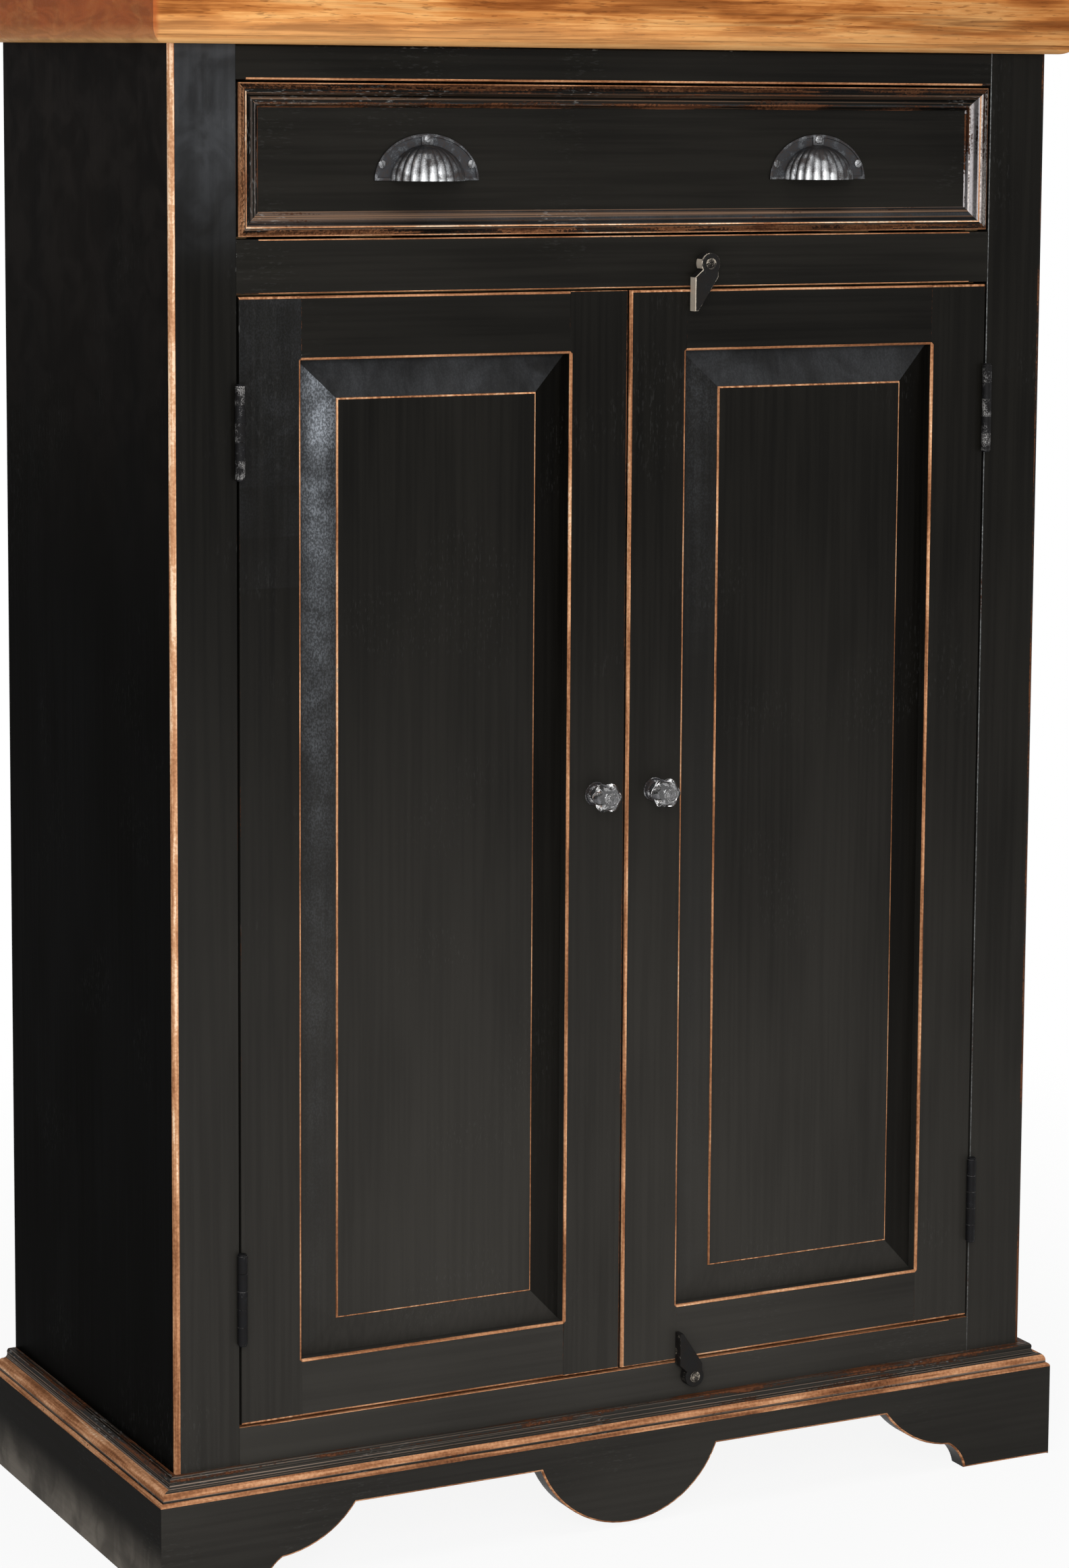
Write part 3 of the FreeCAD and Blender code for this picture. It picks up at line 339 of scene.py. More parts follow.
@dataclass(frozen=True)
class BlackPaint:
    """Black paint, brushed on and rubbed through to the wood at the edges.

    sheen is its gloss and tone its lightness. dust_and_floor_light makes it paler towards the floor, partly
    dust and partly painted floor light, with less of it towards the right as painted shade.
    painted_reflection is a painted sheen over the heights of painted_reflection_rise, speckle is how coarse
    that painted sheen is, and band keeps it to a stretch of X. drag is the brown glaze that the brush left.
    """

    grain: Grain = Grain.UPRIGHT
    sheen: float = 0.06
    tone: float = 1.0
    dust_and_floor_light: float = 1.0
    painted_reflection: float = 0.0
    speckle: float = 0.15
    drag: float = 0.0
    band: tuple[float, ...] | None = None
    painted_reflection_rise: tuple[float, float] = (1.03, 1.15)
    floor_light_rise: tuple[float, float] = (0.08, 0.90)
    shade_reach: tuple[float, float] = (0.08, 0.40)
    edge_step: tuple[float, float] = (0.01, 0.1)
    stain_step: tuple[float, float] = (-0.14, 0.04)
    bare_step: tuple[float, float] = (0.04, 0.20)
    relief: float = 0.2 * MM
    thin: Colour = (0.0098, 0.0090, 0.0074)
    thick: Colour = (0.0032, 0.0029, 0.0023)
    # the colour of the painted sheen
    painted_sheen_colour: Colour = (0.058, 0.061, 0.066)
    # the pale colour towards the floor, partly dust and partly painted floor light
    dust: Colour = (0.043, 0.0400, 0.0350)
    glaze: Colour = (0.135, 0.090, 0.064)
    primer: Colour = (0.045, 0.018, 0.009)
    chip: Colour = (0.40, 0.40, 0.39)
    bare: Stops = (
        (0.0, (0.115, 0.043, 0.019)), (0.35, (0.30, 0.125, 0.055)), (0.65, (0.53, 0.255, 0.126)),
        (0.85, (0.70, 0.390, 0.215)), (1.0, (0.92, 0.66, 0.45)))
    brush_marks: Pattern = Pattern((5.0, 240.0), 4.0)
    clouds: Pattern = Pattern((3.0, 9.0))
    grit: Pattern = Pattern((420.0,))
    patches: Pattern = Pattern((14.0,), 2.0)
    fibres: Pattern = Pattern((14.0, 330.0), 4.0, 0.3)
    mottling: Pattern = Pattern((820.0, 820.0, 520.0), 3.0, 0.3, 0.40, 0.66)
    blots: Pattern = Pattern((26.0,), 4.0, 0.8, 0.34)
    drag_marks: Pattern = Pattern((0.9, 640.0), 3.0, 0.0, 0.47, 0.62, 2.0)
    chips: Pattern = Pattern((160.0, 700.0), 3.0, 0.0, 0.58, 0.66)
    chipped_places: Pattern = Pattern((9.0,), 2.0, 0.0, 0.54, 0.66, 33.3)

    def make(self) -> bpy.types.Material:
        """Build the material."""
        shader = Shader(f"black_paint_{self.grain.name.lower()}")
        brush = shader.noise(self.brush_marks, self.grain)
        cloud = shader.noise(self.clouds, self.grain)
        fine = shader.noise(self.grit)
        patch = shader.noise(self.patches)
        lines = shader.noise(self.fibres, self.grain)
        wear = shader.attribute(WEAR)

        thin, thick = (tuple(self.tone * part for part in colour) for colour in (self.thin, self.thick))
        paint = shader.mix(cloud * 0.6 + brush * 0.4, thick, thin)
        # painted sheen: a pale colour on marked faces and over the heights given, standing in for reflected
        # light
        paint = shader.mix(self.painted_sheen_share(shader, brush, cloud), paint, self.painted_sheen_colour)
        # paler towards the floor, partly dust and partly painted floor light, with less of it towards the
        # right as painted shade
        low = 1.0 - shader.axis("Z").between(*self.floor_light_rise)
        painted_shade = 1.0 - 0.30 * shader.axis("X").between(*self.shade_reach)
        dust_and_floor_light = low * painted_shade * self.dust_and_floor_light
        paint = shader.mix(dust_and_floor_light * (0.52 + 0.22 * cloud + 0.10 * brush), paint, self.dust)
        drawn = shader.noise(self.drag_marks, self.grain)
        paint = shader.mix(drawn * (0.35 + 0.65 * cloud) * self.drag, paint, self.glaze)

        on_edge = wear.between(*self.edge_step)
        chipped = shader.noise(self.chips, self.grain) * shader.noise(self.chipped_places)
        paint = shader.mix(chipped * (0.02 + 0.25 * on_edge), paint, self.chip)

        rubbed = wear * 1.22 - (patch * 0.36 + fine * 0.20 + lines * 0.44)
        stained = rubbed.between(*self.stain_step) * on_edge
        bared = rubbed.between(*self.bare_step) * on_edge
        paint = shader.mix(stained, paint, self.primer)
        # wear past 0.9 makes the bare wood paler, which some pieces use as painted light
        wood = shader.ramp(lines * 0.5 + patch * 0.26 + fine * 0.2 + (wear - 0.9) * 0.5, self.bare)
        paint = shader.mix(bared, paint, wood)

        roughness = 0.34 + 0.10 * cloud + 0.06 * brush + 0.20 * bared
        shader.bump(brush * 0.35 + fine * 0.2 - bared * 0.6, self.relief, 0.35)
        return shader.finish(Base_Color=paint, Roughness=roughness, Specular_ior_Level=self.sheen)

    def painted_sheen_share(self, shader: Shader, brush: Socket, cloud: Socket) -> Socket:
        """The share of the painted sheen over the paint.

        Args:
            shader: The material's tree.
            brush: The brush marks.
            cloud: The clouds.

        Returns:
            The share.
        """
        mottle = shader.noise(self.mottling)
        blot = shader.noise(self.blots)
        risen = shader.axis("Z").between(*self.painted_reflection_rise) * self.painted_reflection
        painted_sheen_share = (shader.attribute(PAINTED_SHEEN) + risen) * (0.30 + 0.40 * cloud + 0.55 * blot)
        if self.band:
            left, peak, right = self.band
            across = shader.axis("X")
            painted_sheen_share = painted_sheen_share * across.between(left, peak) * (1.0 - 0.85 * across.between(peak, right))
        return painted_sheen_share * (0.85 - self.speckle + 0.15 * brush + 2.0 * self.speckle * mottle)


# the sides' paint: far darker than the front as painted shade, and paler towards the top as a painted
# reflection
SIDE_PAINT_SHADE_AND_SHEEN = BlackPaint(sheen=0.002, tone=0.22, dust_and_floor_light=0.0, painted_reflection=0.8, speckle=0.0, painted_reflection_rise=(0.72, 1.26),
                        painted_sheen_colour=(0.021, 0.018, 0.016))
LEVEL_PAINT = BlackPaint(Grain.LEVEL, tone=1.35)


@dataclass(frozen=True)
class TopWood:
    """Golden brown waxed wood with lively level grain, darker streaks and painted light on its lower edges.
    """

    stops: Stops = (
        (0.0, (0.25, 0.075, 0.017)), (0.35, (0.47, 0.168, 0.042)), (0.62, (0.66, 0.275, 0.078)),
        (1.0, (0.86, 0.455, 0.165)))
    dark: Colour = (0.115, 0.034, 0.010)
    umber: Colour = (0.20, 0.060, 0.015)
    pale: Colour = (0.66, 0.37, 0.150)
    end: Colour = (0.45, 0.112, 0.031)
    lit: Colour = (0.92, 0.49, 0.190)
    end_arris_highlight: Colour = (0.66, 0.28, 0.105)
    sheen: float = 0.012
    relief: float = 0.3 * MM
    arris: float = 4.5 * MM
    line_rise: float = 6.2 * MM
    line_sway: float = 0.6 * MM
    line_step: tuple[float, float] = (0.15 * MM, 0.7 * MM)
    glow_rise: tuple[float, float] = (9.0 * MM, 24.0 * MM)
    rightward_reach: tuple[float, float] = (-0.35, 0.40)
    end_reach: tuple[float, float] = (6.0 * MM, 1.0 * MM)
    end_rise: tuple[float, float] = (4.0 * MM, 16.0 * MM)
    growth: Pattern = Pattern((2.4, 24.0, 60.0), 5.0, 1.3, 0.36, 0.64)
    fibres: Pattern = Pattern((22.0, 420.0, 520.0), 4.0, 0.4)
    clouds: Pattern = Pattern((7.0, 9.0, 24.0), 4.0, 1.6, 0.36, 0.64, 1.3)
    dark_streaks: Pattern = Pattern((3.2, 36.0, 125.0), 4.0, 1.6, 0.47, 0.62, 4.1)
    open_pores: Pattern = Pattern((75.0, 700.0, 760.0), 2.0, 0.3, 0.60, 0.70)
    pin_knots: Pattern = Pattern((60.0, 60.0, 80.0), 1.0, 0.0, 0.80, 0.84, 2.2)
    end_rings: Pattern = Pattern((8.0, 14.0, 60.0), 5.0, 1.6, 0.38, 0.62)

    def make(self) -> bpy.types.Material:
        """Build the material."""
        shader = Shader("top_wood")
        low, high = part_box("top_board")
        bands = shader.noise(self.growth)
        fibre = shader.noise(self.fibres)
        cloud = shader.noise(self.clouds)
        wood = shader.ramp(bands * 0.58 + fibre * 0.34 + cloud * 0.40 - 0.16, self.stops)
        # darker towards the right
        rightward = shader.axis("X").between(*self.rightward_reach)
        wood = shader.mix(rightward * (0.08 + 0.35 * bands), wood, self.umber)

        streaks = shader.noise(self.dark_streaks)
        wood = shader.mix(streaks * (0.30 + 0.45 * fibre) * (0.35 + 0.65 * rightward), wood, self.dark)
        pores = shader.noise(self.open_pores)
        wood = shader.mix(pores * 0.5, wood, self.dark)
        wood = shader.mix(shader.noise(self.pin_knots) * 0.8, wood, self.dark)

        rise = shader.axis("Z") - low.z
        # painted light from below on the lower front rounding, weaker towards the right
        glow = (1.0 - rise.between(*self.glow_rise)) * (1.0 - 0.85 * rightward)
        wood = shader.mix(glow * (0.30 + 0.55 * bands), wood, self.lit)
        # a painted highlight along the lowest arris
        lowest = 1.0 - rise.between(0.6 * self.arris, self.arris)
        wood = shader.mix(lowest * (0.25 + 0.5 * fibre), wood, self.pale)
        line = 1.0 - abs(rise - self.line_rise - self.line_sway * bands).between(*self.line_step)
        wood = shader.mix(line * (0.15 + 0.6 * cloud), wood, self.dark)

        ends = abs(shader.axis("X")).between(*(high.x - reach for reach in self.end_reach))
        wood = shader.mix(ends * (0.97 - 0.17 * cloud), wood, self.end)
        # a painted highlight on the ends' lower edge
        wood = shader.mix(ends * (1.0 - rise.between(*self.end_rise)) * 0.9, wood, self.end_arris_highlight)
        wood = shader.mix(ends * shader.noise(self.end_rings) * 0.30, wood, self.dark)
        shader.bump(fibre * 0.5 - pores - streaks * 0.3, self.relief, 0.5)
        roughness = 0.34 + 0.16 * fibre + 0.15 * pores
        return shader.finish(Base_Color=wood, Roughness=roughness, Specular_ior_Level=self.sheen)


@dataclass(frozen=True)
class RawWood:
    """Plain unpainted softwood of the inside and the back."""

    grain: Grain = Grain.UPRIGHT
    stops: Stops = ((0.0, (0.24, 0.125, 0.055)), (0.5, (0.42, 0.255, 0.125)), (1.0, (0.56, 0.38, 0.205)))
    pore: Colour = (0.11, 0.052, 0.024)
    sheen: float = 0.25
    relief: float = 0.3 * MM
    growth: Pattern = Pattern((1.5, 34.0), 4.0, 0.9)
    fibres: Pattern = Pattern((12.0, 460.0))
    open_pores: Pattern = Pattern((70.0, 760.0), 2.0, 0.0, 0.66, 0.75)

    def make(self) -> bpy.types.Material:
        """Build the material."""
        shader = Shader(f"raw_wood_{self.grain.name.lower()}")
        rings = shader.noise(self.growth, self.grain)
        fibre = shader.noise(self.fibres, self.grain)
        pores = shader.noise(self.open_pores, self.grain)
        wood = shader.ramp(rings * 0.6 + fibre * 0.4, self.stops)
        wood = shader.mix(pores * 0.6, wood, self.pore)
        shader.bump(fibre * 0.6 - pores * 0.8, self.relief, 0.4)
        return shader.finish(Base_Color=wood, Roughness=0.58 + 0.18 * fibre, Specular_ior_Level=self.sheen)


@dataclass(frozen=True)
class DarkMetal:
    """Dark metal whose raised and worn places shine; the wear that it reads also carries painted highlights.
    """

    name: str = "antique_metal"
    dark: Colour = (0.018, 0.019, 0.022)
    bright: Colour = (0.74, 0.74, 0.75)
    rust: Colour = (0.070, 0.045, 0.030)
    metallic: float = 1.0
    polish: float = 0.30
    sheen: float = 0.3
    grit: float = 0.30
    blotch: float = 0.35
    relief: float = 0.12 * MM
    shine_step: tuple[float, float] = (0.05, 0.55)
    patches: Pattern = Pattern((120.0,))
    specks: Pattern = Pattern((1100.0,))
    pitting: Pattern = Pattern((2600.0,), 2.0, 0.0, 0.55, 0.7)

    def make(self) -> bpy.types.Material:
        """Build the material."""
        shader = Shader(self.name)
        wear = shader.attribute(WEAR)
        patch = shader.noise(self.patches)
        speck = shader.noise(self.specks)
        pits = shader.noise(self.pitting)
        shine = (wear * 1.25 - patch * self.blotch - speck * self.grit).between(*self.shine_step)
        metal = shader.mix(patch * 0.55 * speck, self.dark, self.rust)
        metal = shader.mix(shine, metal, self.bright)
        shader.bump(patch * 0.4 + speck * 0.4 - pits * 0.5, self.relief, 0.6)
        roughness = self.polish + 0.22 * patch + 0.12 * speck - 0.10 * shine
        return shader.finish(Base_Color=metal, Metallic=self.metallic, Roughness=roughness,
                             Specular_ior_Level=self.sheen)


@dataclass(frozen=True)
class KnobGlass:
    """Clear pressed glass with a faint milky cloud."""

    tint: Colour = (0.92, 0.92, 0.92)
    clear: float = 0.97
    bend: float = 1.7
    relief: float = 0.25 * MM
    ripples: Pattern = Pattern((260.0,), 2.0)
    dust: Pattern = Pattern((900.0,))

    def make(self) -> bpy.types.Material:
        """Build the material."""
        shader = Shader("knob_glass")
        shader.bump(shader.noise(self.ripples), self.relief, 0.45)
        roughness = 0.01 + 0.03 * shader.noise(self.dust)
        return shader.finish(Base_Color=self.tint, Roughness=roughness, Transmission_Weight=self.clear,
                             ior=self.bend)


@dataclass(frozen=True)
class Steel:
    """Plain bright steel of the bolts."""

    colour: Colour = (0.16, 0.16, 0.17)
    shade: Colour = (0.11, 0.11, 0.12)
    tool_marks: Pattern = Pattern((900.0, 60.0, 900.0), 2.0)

    def make(self) -> bpy.types.Material:
        """Build the material."""
        shader = Shader("bright_steel")
        marks = shader.noise(self.tool_marks)
        grey = shader.mix(marks, self.colour, self.shade)
        return shader.finish(Base_Color=grey, Metallic=1.0, Roughness=0.28 + 0.15 * marks)


class Wardrobe:
    """Every finish, made once when it is first asked for."""

    def __init__(self) -> None:
        """Start empty."""
        self.made: dict[Finish, bpy.types.Material] = {}

    def get(self, finish: Finish) -> bpy.types.Material:
        """The material of a finish."""
        if finish not in self.made:
            self.made[finish] = finish.make()
        return self.made[finish]


FINISHES = Wardrobe()


@dataclass(frozen=True)
class Worn:
    """A sharp edge that is rounded and rubbed.

    A coordinate that is None may have any value; width is how far the rounding reaches.
    """

    along: str
    x: float | None = None
    y: float | None = None
    z: float | None = None
    width: float = 1.5 * MM
    wear: float = 0.8

    def holds(self, edge: bmesh.types.BMEdge) -> bool:
        """Whether a mesh edge belongs to this line.

        Args:
            edge: The edge.

        Returns:
            True if it runs along the line's axis at the line's place.
        """
        first, second = (vertex.co for vertex in edge.verts)
        way = (second - first).normalized()
        if abs(way["XYZ".index(self.along)]) < STRAIGHT:
            return False
        for index, place in enumerate((self.x, self.y, self.z)):
            if place is not None and max(abs(first[index] - place), abs(second[index] - place)) > NEAR:
                return False
        return True


def middle(face: Face) -> Vector:
    """The middle of a face's corners."""
    return face.center if isinstance(face, bpy.types.MeshPolygon) else face.calc_center_median()


def deselect_all() -> None:
    """Leave edit mode with nothing selected."""
    if bpy.context.object and bpy.context.object.mode != "OBJECT":
        bpy.ops.object.mode_set(mode="OBJECT")
    bpy.ops.object.select_all(action="DESELECT")


def take(piece: bpy.types.Object) -> None:
    """Make a piece the only selected and active one."""
    deselect_all()
    piece.select_set(True)
    bpy.context.view_layer.objects.active = piece


@contextmanager
def editing(piece: bpy.types.Object) -> Iterator[None]:
    """Hold a piece in edit mode for a while.

    Args:
        piece: The piece.

    Returns:
        A context in which the piece is edited.
    """
    take(piece)
    bpy.ops.object.mode_set(mode="EDIT")
    yield
    bpy.ops.object.mode_set(mode="OBJECT")


def select_all() -> None:
    """Select the whole of the mesh that is edited."""
    bpy.ops.mesh.select_all(action="SELECT")


def face_outwards() -> None:
    """Turn all faces of the mesh that is edited outwards."""
    select_all()
    bpy.ops.mesh.normals_make_consistent(inside=False)


def dress(piece: bpy.types.Object, finish: Finish) -> bpy.types.Object:
    """Give a piece one finish.

    Args:
        piece: The piece.
        finish: The finish.

    Returns:
        The piece.
    """
    piece.data.materials.clear()
    piece.data.materials.append(FINISHES.get(finish))
    return piece


def settle(piece: bpy.types.Object, body: str, slot: str, *nodes: str) -> bpy.types.Object:
    """Seat a finished piece on its body.

    Args:
        piece: The piece.
        body: The CAD body that it moves with.
        slot: The record's material slot; not used.
        nodes: The CAD nodes that it stands for.

    Returns:
        The piece.
    """
    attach(piece, body)
    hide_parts(*nodes)
    LOG.info("%s rides on %s: %d faces", piece.name, body, len(piece.data.polygons))
    return piece


def keep(name: str, finish: Finish) -> None:
    """Dress a CAD node that keeps its own shape."""
    dress(NODES[name], finish)
    LOG.info("%s keeps its CAD shape", name)


class Mended:
    """A copy of a CAD node with its sharp edges softened and its worn faces marked."""

    def __init__(self, node: str) -> None:
        """Copy a CAD node's mesh and merge it into whole faces.

        Args:
            node: The node.
        """
        self.node = node
        mesh = NODES[node].data.copy()
        mesh.name = f"{node}_worn"
        mesh.materials.clear()
        self.piece = bpy.data.objects.new(f"{node}_worn", mesh)
        bpy.context.scene.collection.objects.link(self.piece)
        take(self.piece)
        if mesh.has_custom_normals:
            bpy.ops.mesh.customdata_custom_splitnormals_clear()
        with editing(self.piece):
            select_all()
            bpy.ops.mesh.remove_doubles(threshold=MERGE)
            bpy.ops.mesh.dissolve_limited(angle_limit=ONE_PLANE)
        for name in (WEAR, PAINTED_SHEEN):
            mesh.attributes.new(name, "FLOAT", "FACE")

    def cut(self, axis: str, place: float) -> "Mended":
        """Cut the faces along a plane, so that a stretch can be treated by itself.

        Args:
            axis: The plane's normal, X, Y or Z.
            place: Where it stands on that axis.

        Returns:
            This copy.
        """
        normal = Vector([letter == axis for letter in "XYZ"])
        with editing(self.piece):
            select_all()
            bpy.ops.mesh.bisect(plane_co=place * normal, plane_no=normal)
        return self

    def soften(self, test: EdgeTest, width: float, wear: float, segments: int = 2) -> "Mended":
        """Round some sharp edges and mark the new faces as worn.

        Args:
            test: Which edges.
            width: How far the rounding reaches.
            wear: How far the paint is rubbed off there.
            segments: Faces across the rounding.

        Returns:
            This copy.
        """
        with editing(self.piece):
            bpy.ops.mesh.select_mode(type="EDGE")
            bpy.ops.mesh.select_all(action="DESELECT")
            shape = bmesh.from_edit_mesh(self.piece.data)
            chosen = [edge for edge in shape.edges
                      if len(edge.link_faces) == 2 and edge.calc_face_angle() > SHARP and test(edge)]
            for edge in chosen:
                edge.select_set(True)
            bmesh.update_edit_mesh(self.piece.data)
            if not chosen:
                LOG.warning("%s: no edge to soften", self.node)
                return self
            bpy.ops.mesh.bevel(offset=width, segments=segments, profile=0.5, affect="EDGES",
                               clamp_overlap=True)
            shape = bmesh.from_edit_mesh(self.piece.data)
            layer = shape.faces.layers.float[WEAR]
            for face in shape.faces:
                if face.select and max(abs(part) for part in face.normal) < STRAIGHT:
                    face[layer] = wear
            bmesh.update_edit_mesh(self.piece.data)
        return self

    def worn(self, *lines: Worn) -> "Mended":
        """Soften each of the given edge lines."""
        for line in lines:
            self.soften(line.holds, line.width, line.wear)
        return self

    def mark(self, name: str, value: float | FaceValue, test: FaceTest) -> "Mended":
        """Store a number on some faces.

        Args:
            name: The attribute.
            value: The number, or a rule that gives it for a face.
            test: Which faces.

        Returns:
            This copy.
        """
        shape = bmesh.new()
        shape.from_mesh(self.piece.data)
        shape.normal_update()
        layer = shape.faces.layers.float[name]
        for face in shape.faces:
            if test(face):
                face[layer] = value(face) if callable(value) else value
        shape.to_mesh(self.piece.data)
        shape.free()
        return self

    def done(self, finish: Finish, body: str, slot: str,
             *others: tuple[Finish, FaceTest]) -> bpy.types.Object:
        """Smooth the copy, dress it and put it in the node's place.

        Args:
            finish: Its finish.
            body: The CAD body that it moves with.
            slot: The record's material slot.
            others: Other finishes, each with a test for its faces.

        Returns:
            The piece.
        """
        take(self.piece)
        bpy.ops.object.shade_smooth_by_angle(angle=ROUNDED)
        evened = self.piece.modifiers.new("even", "WEIGHTED_NORMAL")
        evened.keep_sharp = True
        bpy.ops.object.modifier_apply(modifier=evened.name)
        dress(self.piece, finish)
        for number, (other, test) in enumerate(others, start=1):
            self.piece.data.materials.append(FINISHES.get(other))
            for face in self.piece.data.polygons:
                if test(face):
                    face.material_index = number
        return settle(self.piece, body, slot, self.node)


@dataclass
class FaceFrame:
    """The two stiles and three rails that the drawer and the doors close into."""

    corner_round: float = 4.0 * MM
    corner_strip: float = 0.35 * MM
    corner_steps: tuple[float, ...] = (0.3, 0.55, 0.75, 0.9)
    corner_tilt: float = 0.03
    seam: float = 0.4 * MM
    seam_tilt: tuple[float, float] = (0.1, 0.995)
    stile_wear: float = 0.12
    rub: float = 1.7 * MM
    rub_tilt: tuple[float, float] = (0.05, 0.99)
    shoulder_wear: float = 0.15
    end_wear: float = 0.30
    speckle: float = 0.02
    # paint for the painted highlight on the right stile's inner edge
    painted_glint: BlackPaint = BlackPaint(speckle=0.4, painted_sheen_colour=(0.36, 0.37, 0.37))
    body: str = "carcass"

    def stile(self, side: str, corner: float, painted_top_light: float, strip: float, haze: float,
              painted_glint: float) -> None:
        """Make one stile.

        Args:
            side: left or right.
            corner: Wear of the rounded outer corner at its foot.
            painted_top_light: How much the wear grows from stretch to stretch upwards, as painted light from
                above.
            strip: Wear beside the corner.
            haze: The painted sheen on its upper end.
            painted_glint: The painted highlight on its inner edge, which also widens that edge's rounding.
        """
        node = f"{side}_front_stile"
        low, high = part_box(node)
        way = SIDES[side]
        outer, inner = (low.x, high.x) if way < 0 else (high.x, low.x)
        edge_x = outer - way * (self.corner_round + self.corner_strip)
        edge_y = low.y + self.corner_round + self.corner_strip
        copy = Mended(node).cut("X", edge_x).cut("Y", edge_y)
        steps = [low.z + share * (high.z - low.z) for share in self.corner_steps]
        for step in steps:
            copy.cut("Z", step)
        copy.worn(Worn("Z", x=inner, y=low.y, width=self.seam * (1.0 + painted_glint), wear=self.stile_wear))

        def on_inner_edge(face: Face) -> bool:
            """Whether a face is on the softened edge beside the doors."""
            least, most = self.seam_tilt
            return way * face.normal.x < -least and -most < face.normal.y < -least

        def on_side(face: Face) -> bool:
            """Whether a face is on the cupboard's side."""
            return way * face.normal.x > SQUARE

        def on_corner(face: Face) -> bool:
            """Whether a face is on the rounded outer corner."""
            return face.normal.y < -self.corner_tilt and way * face.normal.x > self.corner_tilt

        # painted highlight on the inner edge beside the doors
        copy.mark(PAINTED_SHEEN, painted_glint, on_inner_edge)
        copy.mark(WEAR, strip, lambda face: way * (middle(face).x - edge_x) > 0 and face.normal.y < -SQUARE)
        copy.mark(WEAR, strip, lambda face: middle(face).y < edge_y and on_side(face))
        # the corner's wear grows upwards, which paints the bare wood lighter towards the top
        for number, step in enumerate([low.z, *steps]):
            copy.mark(WEAR, corner + number * painted_top_light, lambda face: middle(face).z > step and on_corner(face))
        copy.done(BlackPaint(painted_reflection=haze, speckle=self.speckle), self.body, PAINT_SLOT, (SIDE_PAINT_SHADE_AND_SHEEN, on_side),
                  (self.painted_glint, on_inner_edge))

    def rail(self, name: str, over: float, under: float, reach: float, sill: float) -> None:
        """Make one rail.

        Args:
            name: Its node.
            over: Wear of its upper front edge.
            under: Wear of its lower front edge.
            reach: How far from the middle these edges are worn.
            sill: Wear of its upper face.
        """
        low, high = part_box(name)
        least, most = self.rub_tilt
        copy = Mended(name).cut("X", -reach).cut("X", reach)
        copy.worn(Worn("X", y=low.y, z=high.z, width=self.rub, wear=over),
                  Worn("X", y=low.y, z=low.z, width=self.rub, wear=under))
        for shoulder in (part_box("left_front_stile")[1].x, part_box("right_front_stile")[0].x):
            copy.worn(Worn("Z", x=shoulder, y=low.y, width=self.seam, wear=self.shoulder_wear))
        copy.mark(WEAR, self.end_wear,
                  lambda face: least < abs(face.normal.z) < most and abs(middle(face).x) > reach)
        copy.mark(WEAR, sill, lambda face: face.normal.z > most)
        copy.done(LEVEL_PAINT, self.body, PAINT_SLOT)

    def build(self) -> None:
        """Make the five pieces."""
        self.stile("left", corner=1.10, painted_top_light=0.22, strip=0.92, haze=0.72, painted_glint=0.0)
        self.stile("right", corner=0.38, painted_top_light=0.0, strip=0.05, haze=0.0, painted_glint=0.55)
        self.rail("top_rail", over=0.1, under=0.95, reach=0.332, sill=0.0)
        self.rail("middle_rail", over=0.88, under=0.95, reach=0.322, sill=0.0)
        self.rail("bottom_rail", over=0.95, under=0.1, reach=0.322, sill=0.85)


